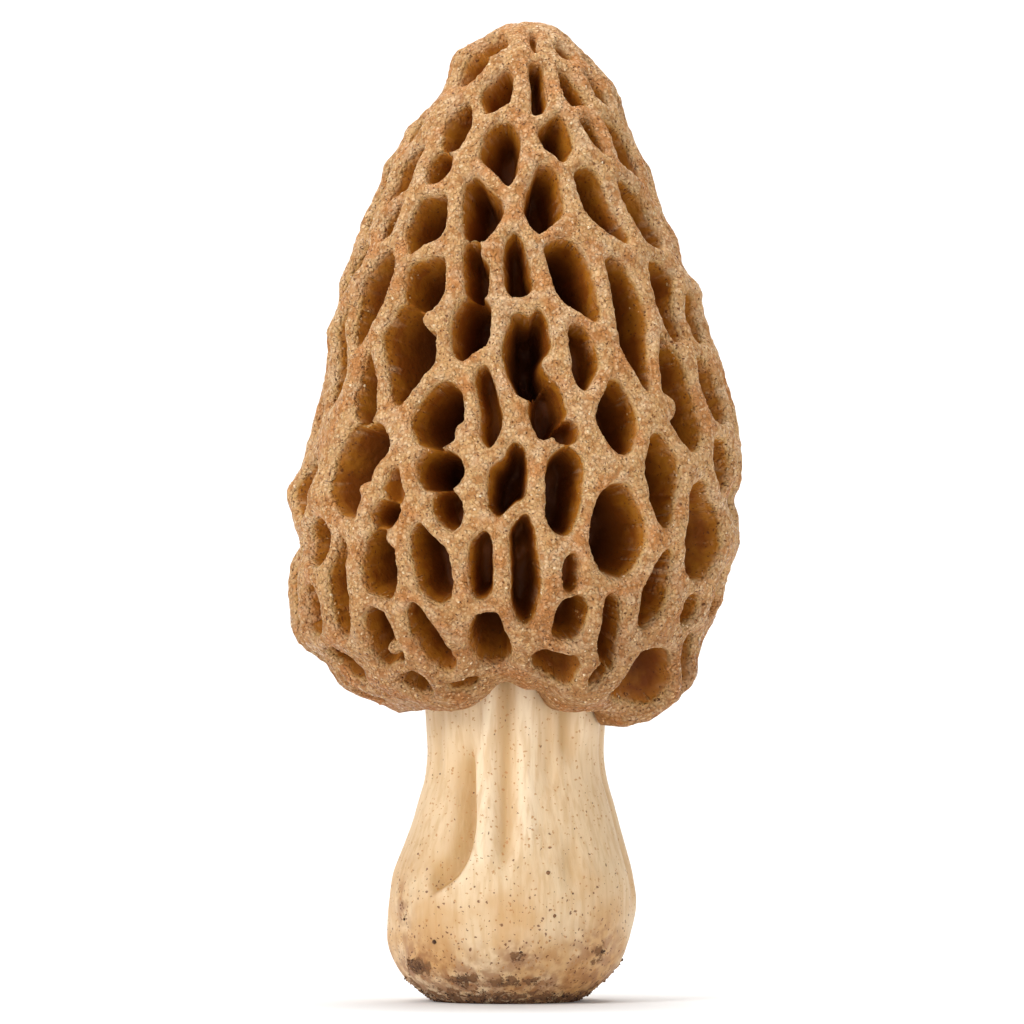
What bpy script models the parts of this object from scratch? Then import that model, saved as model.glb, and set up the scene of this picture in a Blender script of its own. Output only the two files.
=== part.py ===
"""A morel standing on its foot: a brown cap with a raised net of ridges, on a cream fluted stem.

The lengths named below are in millimetres, and the meshes are built in metres. +Z is up and the
front of the mushroom faces -Y. The origin is the middle of the flat spot that the foot stands on.
An angle round the mushroom is 0 at the front and grows towards +X.
"""
import math
import random

import bmesh
import bpy
import numpy as np
from mathutils import Vector, noise

MM = 0.001
# Sideways places are measured from the line through the tip, this far right of the foot's middle.
FOOT_OFFSET = 1.0

# The cap's outer form over the tops of its ridges: radius and height, from the tip down.
CAP_OUTLINE = [
    (0.0, 107.9), (2.9, 107.3), (5.9, 105.2), (8.6, 101.4), (11.6, 96.4), (15.1, 89.2),
    (18.6, 80.8), (21.1, 72.6), (23.3, 64.0), (24.5, 55.5), (24.3, 47.5), (22.9, 41.3),
    (20.3, 36.6), (16.6, 33.5), (12.9, 32.2),
]
CAP_DEPTH_SHARE = 0.96
# How far the cap's middle line strays sideways, by height.
CAP_LEAN = [
    (107.4, 1.1), (101.0, 1.3), (95.0, 0.6), (88.0, 0.0), (80.0, 0.2), (74.0, 0.5), (67.0, 1.3),
    (61.0, 0.9), (54.0, 0.1), (46.0, -0.8), (40.0, -1.4), (36.0, -0.5), (32.0, 0.2),
]
# Swells and dips of the cap's sides: side (-1 left, 1 right), height, size and half spread.
SIDE_SWELLS = [
    (-1, 104.0, 1.2, 2.2), (-1, 95.8, 0.6, 1.6), (-1, 92.3, 0.9, 1.8), (-1, 79.0, 0.5, 1.8),
    (-1, 73.8, 0.6, 1.8), (-1, 56.0, 1.2, 2.0), (-1, 50.2, -1.3, 2.0), (-1, 40.0, 0.4, 1.5),
    (-1, 37.2, -0.8, 1.2), (1, 100.6, 0.9, 2.6), (1, 91.5, 0.7, 2.0), (1, 84.0, 0.8, 1.8),
    (1, 78.5, 0.8, 1.8), (1, 70.0, 0.4, 1.8), (1, 55.2, -0.8, 1.4), (1, 50.0, 0.5, 1.8),
    (1, 43.0, 0.4, 1.8), (1, 35.8, 0.8, 1.4),
]
# Lobes of the cap's lower edge: degrees round the cap, lift and half spread in degrees.
RIM_LOBES = [
    (-5, 3.1, 11), (11, 1.6, 7), (-19, 0.5, 8), (28, -0.5, 10), (66, -2.2, 11), (-63, -0.3, 12),
    (96, 0.5, 10), (112, -0.7, 13), (133, 0.8, 11), (158, -0.8, 12), (-172, 0.8, 13),
    (-145, -0.8, 12), (-118, 0.7, 12), (-92, -0.5, 12),
]
RIM_LIFT_TOP = 45.0
# The pits fade out between these two radii on the underside.
RIM_FADE = (12.2, 15.0)

# The stem's outer form: height and radius, and how far its middle line strays sideways.
STEM_OUTLINE = [
    (37.6, 10.0), (33.0, 10.1), (30.0, 9.9), (27.0, 9.8), (24.6, 10.1), (22.0, 10.8),
    (19.5, 11.5), (17.0, 12.3), (14.2, 13.2), (11.2, 13.6), (8.6, 13.5), (6.2, 13.1),
    (4.4, 12.4), (2.6, 11.1), (1.2, 9.5), (0.3, 8.2), (0.0, 7.6),
]
STEM_LEAN = [(37.6, 0.0), (27.0, 0.0), (20.0, 0.0), (14.0, -0.3), (8.0, -0.5), (3.0, -0.9), (0.0, -1.0)]
STEM_DEPTH_SHARE = 0.95
# Straight flutes on the front: sideways place at the top and the bottom, top and bottom heights,
# half width, and height (a groove is below zero).
FLUTES = [
    (-2.7, -3.0, 42.0, 14.0, 1.0, 0.6),
    (-1.2, -1.0, 42.0, 13.5, 0.9, -0.7),
    (1.0, 1.3, 42.0, 15.0, 1.2, 0.5),
    (3.4, 3.8, 42.0, 22.0, 0.9, -0.35),
    (5.3, 5.7, 42.0, 25.0, 1.0, -0.7),
    (7.2, 7.4, 42.0, 27.0, 1.0, 0.4),
    (6.0, 6.6, 20.0, 11.0, 1.4, -0.45),
    (-6.2, -6.6, 42.0, 30.0, 1.0, -0.4),
    (-8.0, -8.8, 42.0, 22.0, 1.3, -0.4),
]
FLUTE_FADE = 4.0
# The edge of the front hollow, top to bottom: place round the stem and height.
HOLLOW_EDGE = [(-4.3, 31.5), (-4.1, 24.0), (-4.1, 18.4), (-4.8, 15.6), (-6.2, 13.6), (-8.2, 12.3)]
HOLLOW_STEP = 0.25
HOLLOW_DEPTH = 1.6
HOLLOW_WIDTH = 3.2
HOLLOW_WALL = 1.0
HOLLOW_LIP = 0.35
HOLLOW_LIP_WIDTH = 1.3
HOLLOW_FULL_SHARE = 0.45
HOLLOW_END_FADE = 2.0
FOOT_LUMPS = 0.35
FOOT_LUMP_LENGTH = 4.5
FOOT_LUMP_RISE = (0.2, 3.0)
FOOT_LUMP_FADE = (9.0, 16.0)
# The flutes strewn over the sides and the back, from the first one's place round the stem.
BACK_FLUTES = 8
BACK_FLUTE_DEPTH = 0.5
BACK_FLUTE_DEGREES = (80, 300)
BACK_FLUTE_STRAY = 0.2
BACK_FLUTE_WIDTH_RANGE = (0.9, 1.5)
BACK_FLUTE_DEPTH_RANGE = (0.6, 1.0)
BACK_FLUTE_RISE = (7.0, 16.0)
STEM_TOP_RADII = (0.0, 4.0, 8.0)
FOOT_RADII = (5.0, 2.5, 0.0)

# The stem rises into a recess under the cap, with this much room round it and over it.
RECESS_ROOM = 0.45
RECESS_RADIUS = 10.5
STEM_TOP = 37.6
RECESS_TOP = 38.2
RECESS_WALL_HEIGHTS = (32.6, 34.0, 35.5, 37.0, RECESS_TOP)
RECESS_ROOF_RADII = (7.0, 3.5, 0.0)
RECESS_TOLERANCE = 0.1

# Pits that the front shows: sideways place, height, half width and half height as seen from the
# front, lean in degrees (towards +X at the top), depth as a share of the usual depth, and how low
# the sill to the next pit of the list is (0 for a whole ridge, more for a lower one).
FRONT_PITS = [
    (-4.7, 103.0, 1.4, 2.6, 48, 0.6, 1.0),
    (-2.4, 105.4, 1.4, 1.7, 62, 0.5, 0.0),
    (2.2, 105.4, 0.8, 1.8, 0, 0.5, 0.0),
    (5.9, 104.3, 1.0, 1.7, -40, 0.6, 0.0),
    (-2.3, 100.0, 1.9, 3.1, 10, 1.0, 0.0),
    (2.6, 100.6, 1.4, 3.7, 0, 1.0, 0.0),
    (6.4, 100.3, 1.4, 2.9, -15, 0.9, 0.0),
    (8.5, 100.9, 0.8, 3.0, -28, 0.7, 0.0),
    (-6.3, 96.1, 1.6, 3.1, 5, 0.8, 0.8),
    (-8.5, 91.4, 1.4, 2.2, 15, 0.7, 0.0),
    (-1.6, 93.1, 2.2, 3.9, -8, 1.0, 0.0),
    (4.8, 94.7, 1.8, 2.8, -12, 1.0, 0.0),
    (8.8, 95.6, 1.0, 2.6, -20, 0.9, 0.0),
    (11.8, 93.9, 1.1, 3.9, -25, 0.9, 0.0),
    (-10.7, 96.0, 0.9, 1.8, 35, 0.5, 0.0),
    (-12.3, 90.5, 1.1, 3.7, 15, 0.7, 0.0),
    (3.3, 88.0, 2.2, 4.2, 8, 1.0, 0.0),
    (-4.0, 87.1, 2.4, 4.0, 0, 1.0, 1.0),
    (-4.6, 80.6, 1.8, 3.5, -8, 1.0, 1.1),
    (-5.0, 74.0, 2.4, 3.4, 5, 1.0, 0.0),
    (9.8, 87.6, 1.7, 4.6, -25, 1.0, 0.0),
    (14.0, 86.4, 1.3, 4.2, -22, 0.9, 0.0),
    (-9.9, 85.6, 2.2, 3.7, 8, 0.9, 0.0),
    (-13.7, 86.2, 0.9, 2.6, 12, 0.8, 0.0),
    (0.4, 80.7, 1.9, 3.7, -8, 1.0, 0.0),
    (6.6, 79.6, 2.4, 5.1, -26, 1.1, 0.0),
    (-10.0, 78.8, 2.2, 3.6, 5, 0.9, 1.1),
    (-12.1, 71.6, 3.0, 5.6, 8, 1.0, 0.0),
    (-15.8, 77.4, 1.5, 5.3, 15, 0.9, 0.0),
    (-17.9, 80.2, 0.9, 3.3, 20, 0.8, 0.0),
    (-19.3, 71.1, 1.0, 5.3, 3, 0.9, 0.0),
    (-3.1, 65.5, 1.5, 4.7, -10, 0.9, 0.0),
    (-8.6, 64.5, 2.9, 3.5, 15, 1.1, 1.2),
    (-8.5, 58.4, 2.5, 2.2, 0, 1.1, 1.2),
    (-7.7, 54.0, 1.7, 2.2, 0, 1.0, 0.0),
    (1.4, 71.4, 2.7, 4.9, 0, 1.2, 1.5),
    (3.6, 65.0, 1.9, 3.3, 0, 1.1, 1.3),
    (5.6, 62.6, 1.5, 1.3, 0, 1.0, 1.0),
    (5.4, 56.4, 2.2, 4.6, 0, 1.1, 0.0),
    (7.5, 70.7, 1.7, 3.7, -5, 0.9, 0.0),
    (13.2, 74.4, 2.0, 7.2, -8, 0.9, 0.0),
    (16.9, 77.2, 1.5, 4.6, 0, 0.9, 0.9),
    (18.1, 67.4, 2.0, 6.6, -16, 1.0, 0.0),
    (19.5, 75.3, 1.1, 3.1, -12, 0.8, 0.0),
    (22.2, 66.6, 1.2, 4.2, -15, 0.9, 0.0),
    (-0.7, 57.1, 2.2, 4.1, 8, 1.1, 0.0),
    (0.8, 48.0, 1.9, 6.3, -5, 1.1, 0.0),
    (-3.5, 47.8, 1.7, 3.7, 4, 1.0, 0.0),
    (-2.7, 37.2, 2.2, 4.2, -3, 1.0, 0.0),
    (-9.6, 48.2, 2.0, 4.4, -19, 1.0, 1.0),
    (-9.3, 38.9, 1.45, 4.7, -12, 0.9, 0.0),
    (-13.3, 56.6, 1.4, 2.5, -10, 0.5, 0.9),
    (-14.6, 53.8, 2.0, 1.8, 0, 0.9, 1.0),
    (-15.3, 48.0, 2.1, 3.8, 0, 1.0, 0.0),
    (-16.3, 67.2, 1.3, 4.2, -8, 0.9, 1.0),
    (-17.4, 58.6, 2.7, 5.1, 10, 1.0, 0.0),
    (-14.5, 39.1, 1.5, 4.7, -4, 0.9, 0.0),
    (-11.4, 35.0, 1.4, 2.9, -22, 0.9, 0.0),
    (-19.7, 45.8, 1.2, 5.3, -5, 0.8, 0.0),
    (-22.3, 50.5, 1.2, 2.6, 0, 0.7, 0.0),
    (-22.9, 56.6, 1.2, 3.3, 0, 0.8, 0.0),
    (-22.2, 63.2, 0.8, 2.4, 0, 0.7, 0.0),
    (-22.6, 42.8, 1.0, 3.0, 0, 0.6, 0.0),
    (-19.2, 37.2, 1.0, 3.0, -25, 0.7, 0.0),
    (-5.7, 33.6, 1.8, 1.2, 10, 0.7, 0.0),
    (11.5, 64.2, 2.1, 3.9, -12, 1.0, 0.0),
    (16.5, 57.3, 1.8, 4.8, -9, 1.0, 0.0),
    (11.5, 51.8, 2.85, 4.9, 0, 1.1, 0.0),
    (6.3, 47.1, 1.2, 2.2, 0, 0.9, 0.8),
    (6.1, 41.8, 1.8, 2.7, 10, 1.0, 0.0),
    (10.6, 40.4, 1.25, 4.6, -7, 1.0, 0.9),
    (8.8, 35.9, 1.2, 1.8, 38, 0.7, 0.0),
    (4.7, 35.5, 3.0, 2.4, 0, 0.6, 0.0),
    (15.9, 45.5, 1.25, 4.3, 14, 1.0, 0.0),
    (21.0, 51.7, 2.1, 5.3, -3, 1.0, 0.0),
    (23.1, 59.5, 1.2, 3.6, 0, 0.9, 0.0),
    (19.5, 43.3, 1.0, 2.0, 15, 0.8, 0.0),
    (22.3, 45.0, 0.9, 2.6, 12, 0.8, 0.0),
    (14.1, 35.2, 2.6, 4.0, 28, 0.8, 0.0),
    (19.0, 38.3, 0.9, 3.1, 0, 0.7, 0.0),
]
# Lobes of the ridges that stand into these pits: sideways place, height and radius.
FRONT_LOBES = [
    (-2.9, 82.2, 0.9), (1.5, 75.9, 0.6), (-8.9, 74.7, 1.3), (4.7, 70.0, 1.6), (16.8, 65.3, 1.5),
    (-5.8, 62.7, 0.9), (-15.9, 56.2, 0.9), (-13.9, 51.0, 0.95), (-13.3, 38.7, 0.8),
    (-6.4, 38.4, 0.9),
]
# A pit near the side is seen at a slant. Its width is drawn out up to the first limit, and no pit
# of the front is placed farther round than the second, the sine of its angle.
LEAST_SLANT_SHARE = 0.45
LEAST_SLANT_SINE = 0.985
# How far apart the places are from which a pit's directions are read, in radians and millimetres.
PIT_FEELER = 0.02

# The other pits are strewn where there is room, away from the front.
SEED = 7
BACK_FROM_DEGREES = 66
BACK_SPACING = 5.0
BACK_TRIES = 6000
EVENING_ROUNDS = 3
# Pits are taller than they are wide, so heights count for less when their spacing is measured.
SQUASH = np.array([1.0, 1.0, 1 / 1.7])
BACK_HALF_WIDTH = 2.3
BACK_HALF_HEIGHT = 4.0
BACK_SIZE_RANGE = (0.85, 1.15)
BACK_LEAN_RANGE = (-14, 14)
BACK_DEPTH_RANGE = (0.85, 1.1)
BACK_TOP = 106.7
BACK_BOTTOM = 33.5
SMALL_NEAR_TIP = [(107.0, 0.48), (102.0, 0.6), (95.0, 0.75), (80.0, 1.0), (34.0, 1.0)]

# The net of ridges between the pits. A ridge between pits one above the other is a cross ridge,
# by the upright share of the way from pit to pit.
RIDGE_HALF_WIDTH = 0.97
CROSS_RIDGE_HALF_WIDTH = 0.8
CROSS_RIDGE_SHARE = (0.5, 0.9)
RIDGE_WAVE = 0.35
RIDGE_WAVE_LENGTH = 3.4
RIDGE_SWELL = 0.55
RIDGE_SWELL_LENGTH = 7.0
RIM_ROUNDING = 0.18
CORNER_ROUNDING = 0.7
PIT_REACH = 1.1
BACK_PIT_REACH = 1.3
PIT_DEPTH_PER_WIDTH = 2.9
PIT_DEPTH_RANGE = (2.0, 7.5)
DEPTH_PER_RADIUS = 0.42
FLOOR_SHARE = 0.6
FLOOR_BLEND = 0.12
FLOOR_WAVE = 0.14
FLOOR_WAVE_LENGTH = 2.6
NEIGHBOURS = 6
WAVE_SHIFTS = dict(edge=3.0, floor=13.0, swell=9.0, foot=5.0)
TINY = 1e-6

# Colour and roughness of the flesh.
CAP_FLESH = ((0.50, 0.30, 0.12), 0.75)
STEM_FLESH = ((0.86, 0.74, 0.52), 0.6)

# Mesh fineness.
CURVE_SAMPLES = 40
CAP_STEPS_ROUND = 320
CAP_STEP_DOWN = 0.46
CAP_TRIANGLES = 11900
STEM_STEPS_ROUND = 220
STEM_STEP_DOWN = 0.45
STEM_TRIANGLES = 5600
MERGE_DISTANCE = 1e-4
ROUND_DIGITS = 7


def through(table, at):
    """The value at some heights, on a smooth curve through (height, value) pairs."""
    table = np.array(table, float)
    heights, values = table[np.argsort(table[:, 0])].T
    slopes = np.gradient(values, heights)
    i = np.clip(np.searchsorted(heights, at) - 1, 0, len(heights) - 2)
    gap = heights[i + 1] - heights[i]
    s = np.clip((at - heights[i]) / gap, 0.0, 1.0)
    start = values[i] * (1 + 2 * s) + slopes[i] * gap * s
    end = values[i + 1] * (3 - 2 * s) + slopes[i + 1] * gap * (s - 1)
    return start * (1 - s) ** 2 + end * s ** 2


def rise(low, high, at):
    """0 up to low, 1 from high on, and a smooth rise between."""
    s = np.clip((at - low) / (high - low), 0.0, 1.0)
    return s * s * (3 - 2 * s)


def turn_between(angle, other):
    """The smallest turn from one angle to another."""
    return (angle - other + math.pi) % (2 * math.pi) - math.pi


def along(points, step):
    """Points a step apart on a smooth curve through the given ones."""
    points = np.array(points, float)
    place = np.r_[0.0, np.cumsum(np.hypot(*np.diff(points, axis=0).T))]
    fine = np.linspace(0.0, place[-1], CURVE_SAMPLES * len(points))
    curve = np.column_stack([through(np.column_stack((place, side)), fine) for side in points.T])
    length = np.r_[0.0, np.cumsum(np.hypot(*np.diff(curve, axis=0).T))]
    even = np.linspace(0.0, length[-1], round(length[-1] / step) + 1)
    return np.column_stack([np.interp(even, length, side) for side in curve.T])


def turned(profile, steps):
    """A closed mesh turned round Z from (radius, height) points, both ends on the axis."""
    bm = bmesh.new()
    verts = [bm.verts.new((radius, 0.0, height)) for radius, height in profile]
    edges = [bm.edges.new(pair) for pair in zip(verts, verts[1:])]
    bmesh.ops.spin(
        bm, geom=verts + edges, cent=(0, 0, 0), axis=(0, 0, 1), dvec=(0, 0, 0),
        angle=2 * math.pi, steps=steps, use_merge=True, use_duplicate=False,
    )
    bmesh.ops.remove_doubles(bm, verts=bm.verts, dist=MERGE_DISTANCE)
    bmesh.ops.recalc_face_normals(bm, faces=bm.faces)
    return bm


def places(bm):
    return np.array([vert.co for vert in bm.verts])


def move_to(bm, points):
    for vert, point in zip(bm.verts, points):
        vert.co = point


def wave(points, length, shift):
    """Smooth noise from about -1 to 1 at each point."""
    offset = Vector((shift, shift, shift))
    return np.array([noise.noise(Vector(point) / length + offset) for point in points])


def strewn_flutes():
    """Angle, half width and height of the flutes on the stem's sides and back."""
    draw = random.Random(SEED)
    first, last = BACK_FLUTE_DEGREES
    gap = (last - first) / BACK_FLUTES
    flutes = []
    for number in range(BACK_FLUTES):
        stray = draw.uniform(-BACK_FLUTE_STRAY, BACK_FLUTE_STRAY)
        width = draw.uniform(*BACK_FLUTE_WIDTH_RANGE)
        size = -draw.uniform(*BACK_FLUTE_DEPTH_RANGE) * BACK_FLUTE_DEPTH
        flutes.append((math.radians(first + gap * (number + stray)), width, size))
    return flutes


def stem_radius(angle, height):
    """The stem's radius with its flutes and its hollow."""
    plain = through(STEM_OUTLINE, height)
    radius = plain.copy()
    for top_place, bottom_place, top, bottom, width, size in FLUTES:
        place = bottom_place + (top_place - bottom_place) * (height - bottom) / (top - bottom)
        middle = np.arcsin(np.clip(place / plain, -1, 1))
        away = plain * turn_between(angle, middle) / width
        fade = rise(bottom, bottom + FLUTE_FADE, height) * (1 - rise(top - FLUTE_FADE, top, height))
        radius += size * np.exp(-away ** 2) * fade
    upper = rise(*BACK_FLUTE_RISE, height)
    for middle, width, size in strewn_flutes():
        radius += size * np.exp(-(plain * turn_between(angle, middle) / width) ** 2) * upper
    return radius + hollow(plain * turn_between(angle, 0.0), height)


def hollow(around, height):
    """The height of the front hollow and of the lip on its right, over the plain stem."""
    edge = along(HOLLOW_EDGE, HOLLOW_STEP)
    off_x = around[:, None] - edge[:, 0]
    off_z = height[:, None] - edge[:, 1]
    row = np.arange(len(around))
    near = np.hypot(off_x, off_z).argmin(axis=1)
    run = np.gradient(edge, axis=0)[near]
    run /= np.linalg.norm(run, axis=1)[:, None]
    away = off_x[row, near] * -run[:, 1] + off_z[row, near] * run[:, 0]
    past = np.abs(off_x[row, near] * run[:, 0] + off_z[row, near] * run[:, 1])
    share = near / (len(edge) - 1)
    strength = rise(0.0, HOLLOW_FULL_SHARE, share) * (1 - rise(0.0, HOLLOW_END_FADE, past))
    left = np.where(away < 0, rise(0.0, HOLLOW_WALL, -away) * np.exp(-(away / HOLLOW_WIDTH) ** 2), 0.0)
    right = np.where(away < 0, 1 - rise(0.0, HOLLOW_WALL, -away), np.exp(-(away / HOLLOW_LIP_WIDTH) ** 2))
    return strength * (HOLLOW_LIP * right - HOLLOW_DEPTH * left)


def stem_points(angle, radius, height):
    side = through(STEM_LEAN, height) + radius * np.sin(angle)
    return np.column_stack((side, -STEM_DEPTH_SHARE * radius * np.cos(angle), height))


def rim_lift(angle, height, top):
    """How far the lobes of the cap's lower edge lift what is below the top."""
    lift = np.zeros(len(angle))
    for degrees, size, spread in RIM_LOBES:
        away = np.degrees(turn_between(angle, math.radians(degrees))) / spread
        lift += size * np.exp(-away ** 2)
    return lift * (1 - rise(CAP_OUTLINE[-1][1], top, height))


def bend_cap(points):
    """Leans the round cap, thins it front to back and lifts the lobes of its lower edge."""
    x, y, z = points.T
    angle = np.arctan2(x, -y)
    lift = rim_lift(angle, z, RIM_LIFT_TOP)
    swell = np.zeros(len(points))
    for side, height, size, spread in SIDE_SWELLS:
        facing = np.clip(side * np.sin(angle), 0.0, 1.0) ** 2
        swell += side * size * facing * np.exp(-((z - height) / spread) ** 2)
    return np.column_stack((x + through(CAP_LEAN, z) + swell, CAP_DEPTH_SHARE * y, z + lift))


def cap_places(angle, height, outline):
    """Points on the cap's outer form, from the angles round it and the heights."""
    radius = np.interp(-height, -outline[:, 1], outline[:, 0])
    return bend_cap(np.column_stack((radius * np.sin(angle), -radius * np.cos(angle), height)))


def pit_at(angle, height, outline, half_width, half_height, lean, share, sill, reach):
    """One pit: its middle, its own three directions and its sizes."""
    angles = angle + PIT_FEELER * np.array([0, 1, -1, 0, 0])
    heights = height + PIT_FEELER * np.array([0, 0, 0, 1, -1])
    middle, right, left, above, below = cap_places(angles, heights, outline)
    around = right - left
    upward = above - below
    around /= np.linalg.norm(around)
    upward /= np.linalg.norm(upward)
    outward = np.cross(around, upward)
    outward /= np.linalg.norm(outward)
    upward = np.cross(outward, around)
    turn = math.radians(lean)
    across = around * math.cos(turn) - upward * math.sin(turn)
    tall = around * math.sin(turn) + upward * math.cos(turn)
    radius = np.interp(-height, -outline[:, 1], outline[:, 0])
    depth = float(np.clip(PIT_DEPTH_PER_WIDTH * half_width, *PIT_DEPTH_RANGE)) * share
    depth = min(depth, DEPTH_PER_RADIUS * radius)
    return dict(
        middle=middle, across=across, tall=tall, outward=outward, width=half_width,
        height=half_height, depth=depth, sill=sill, reach=reach,
    )


def front_angle(place, height, outline):
    """The angle round the cap at which the front shows this sideways place."""
    radius = np.interp(-height, -outline[:, 1], outline[:, 0])
    sine = (place - through(CAP_LEAN, height)) / radius
    return math.asin(np.clip(sine, -LEAST_SLANT_SINE, LEAST_SLANT_SINE))


def front_lobes(outline):
    """The middle and radius of each lobe."""
    lobes = []
    for place, height, radius in FRONT_LOBES:
        angle = np.array([front_angle(place, height, outline)])
        lobes.append((cap_places(angle, np.array([height]), outline)[0], radius))
    return lobes


def front_pits(outline):
    pits = []
    for place, height, half_width, half_height, lean, share, sill in FRONT_PITS:
        angle = front_angle(place, height, outline)
        width = half_width / max(math.cos(angle), LEAST_SLANT_SHARE)
        pits.append(pit_at(
            angle, height, outline, width, half_height, lean, share, sill, PIT_REACH,
        ))
    return pits


def back_pits(outline, front):
    """Strews pits over the sides and the back, each where there is the most room, then evens them."""
    draw = np.random.default_rng(SEED)
    angle = np.radians(draw.uniform(BACK_FROM_DEGREES, 360 - BACK_FROM_DEGREES, BACK_TRIES))
    height = draw.uniform(BACK_BOTTOM, BACK_TOP, BACK_TRIES)
    tried = cap_places(angle, height, outline) * SQUASH
    small = through(SMALL_NEAR_TIP, height)
    fixed = np.array([pit["middle"] for pit in front]) * SQUASH
    room = np.linalg.norm(tried[:, None] - fixed, axis=2).min(axis=1) / small
    chosen = []
    while room.max() > BACK_SPACING:
        chosen.append(tried[room.argmax()])
        room = np.minimum(room, np.linalg.norm(tried - chosen[-1], axis=1) / small)
    for _ in range(EVENING_ROUNDS):
        middles = np.vstack((chosen, fixed))
        owner = np.linalg.norm(tried[:, None] - middles, axis=2).argmin(axis=1)
        chosen = [
            tried[owner == number].mean(axis=0) if np.any(owner == number) else chosen[number]
            for number in range(len(chosen))
        ]
    pits = []
    for spot in chosen:
        x, y, z = spot / SQUASH
        spot_angle = math.atan2(x - through(CAP_LEAN, z), -y / CAP_DEPTH_SHARE)
        size = float(through(SMALL_NEAR_TIP, z))
        pits.append(pit_at(
            spot_angle, z, outline, BACK_HALF_WIDTH * size * draw.uniform(*BACK_SIZE_RANGE),
            BACK_HALF_HEIGHT * size * draw.uniform(*BACK_SIZE_RANGE),
            draw.uniform(*BACK_LEAN_RANGE), draw.uniform(*BACK_DEPTH_RANGE), 0.0, BACK_PIT_REACH,
        ))
    return pits


def smaller(one, other, rounding):
    """The smaller of two values, with the step from one to the other rounded."""
    blend = np.clip(0.5 + 0.5 * (one - other) / rounding, 0.0, 1.0)
    return one + (other - one) * blend - rounding * blend * (1 - blend)


def pit_depth(points, pits, lobes):
    """How deep the pits sink each point of the cap's outer form."""
    middle, across, tall, outward = (
        np.array([pit[name] for pit in pits]) for name in ("middle", "across", "tall", "outward")
    )
    width, height, depth, sill, reach = (
        np.array([pit[name] for pit in pits]) for name in ("width", "height", "depth", "sill", "reach")
    )
    thick = (width + height) / 2
    u = points @ across.T - np.einsum("ij,ij->i", middle, across)
    v = points @ tall.T - np.einsum("ij,ij->i", middle, tall)
    w = points @ outward.T - np.einsum("ij,ij->i", middle, outward)
    size = np.sqrt((u / width) ** 2 + (v / height) ** 2 + (w / thick) ** 2) + TINY
    nearest = np.argsort(size, axis=1)[:, :NEIGHBOURS]
    row = np.arange(len(points))[:, None]
    near = size[row, nearest]
    slope = (
        (u / width ** 2)[row, nearest][..., None] * across[nearest]
        + (v / height ** 2)[row, nearest][..., None] * tall[nearest]
        + (w / thick ** 2)[row, nearest][..., None] * outward[nearest]
    ) / near[..., None]
    own = nearest[:, 0]
    inside = (reach[own] - near[:, 0]) / np.linalg.norm(slope[:, 0], axis=1)
    for other in range(1, NEIGHBOURS):
        them = nearest[:, other]
        steep = np.linalg.norm(slope[:, other] - slope[:, 0], axis=1) + TINY
        room = (near[:, other] - near[:, 0]) / steep
        link = middle[them] - middle[own]
        upright = np.abs(link[:, 2]) / np.linalg.norm(link, axis=1)
        cross = rise(*CROSS_RIDGE_SHARE, upright)
        half = RIDGE_HALF_WIDTH + (CROSS_RIDGE_HALF_WIDTH - RIDGE_HALF_WIDTH) * cross
        low = np.where(them == own + 1, sill[own], 0.0) + np.where(own == them + 1, sill[them], 0.0)
        inside = smaller(inside, room - half + low, CORNER_ROUNDING)
    for lobe, radius in lobes:
        inside = smaller(inside, np.linalg.norm(points - lobe, axis=1) - radius, CORNER_ROUNDING)
    inside += RIDGE_WAVE * wave(points, RIDGE_WAVE_LENGTH, WAVE_SHIFTS["edge"])
    inside = 0.5 * (inside + np.sqrt(inside ** 2 + RIM_ROUNDING ** 2))
    mix = 0.5 * np.exp(-(near[:, 1] - near[:, 0]) / FLOOR_BLEND)
    full = depth[own] + (depth[nearest[:, 1]] - depth[own]) * mix
    full *= 1 + FLOOR_WAVE * wave(points, FLOOR_WAVE_LENGTH, WAVE_SHIFTS["floor"])
    reachable = width[own] + (width[nearest[:, 1]] - width[own]) * mix
    share = np.clip(inside / (FLOOR_SHARE * reachable), 0.0, 1.0)
    return full * np.sin(0.5 * math.pi * share)


def round_places(points):
    """Angle round, radius and height of points on a turned form."""
    x, y, z = points.T
    return np.arctan2(x, -y), np.hypot(x, y), z


def build_cap():
    outline = along(CAP_OUTLINE, CAP_STEP_DOWN)
    wall = [(RECESS_RADIUS, height) for height in RECESS_WALL_HEIGHTS]
    roof = [(radius, RECESS_TOP) for radius in RECESS_ROOF_RADII]
    bm = turned([tuple(point) for point in outline] + wall + roof, CAP_STEPS_ROUND)
    points = places(bm)
    angle, radius, height = round_places(points)
    recess = (radius < RECESS_RADIUS + RECESS_TOLERANCE) & (height < RECESS_TOP + RECESS_TOLERANCE)
    skin = np.where(recess, 0.0, 1.0)
    bm.normal_update()
    normals = np.array([vert.normal for vert in bm.verts])

    bent = bend_cap(points)
    lifted = height + rim_lift(angle, height, RECESS_TOP)
    room = (stem_radius(angle, lifted) + RECESS_ROOM) * radius / RECESS_RADIUS
    bent[recess] = stem_points(angle, room, lifted)[recess]

    pits = front_pits(outline)
    pits += back_pits(outline, pits)
    shallow = np.where(height < RIM_LIFT_TOP, rise(*RIM_FADE, radius), 1.0)
    swell = RIDGE_SWELL * wave(bent, RIDGE_SWELL_LENGTH, WAVE_SHIFTS["swell"])
    sink = (pit_depth(bent, pits, front_lobes(outline)) * shallow - swell) * skin
    move_to(bm, np.round((bent - normals * sink[:, None]) * MM, ROUND_DIGITS))
    return finish("cap", bm, material("cap_flesh", *CAP_FLESH), CAP_TRIANGLES)


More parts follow.
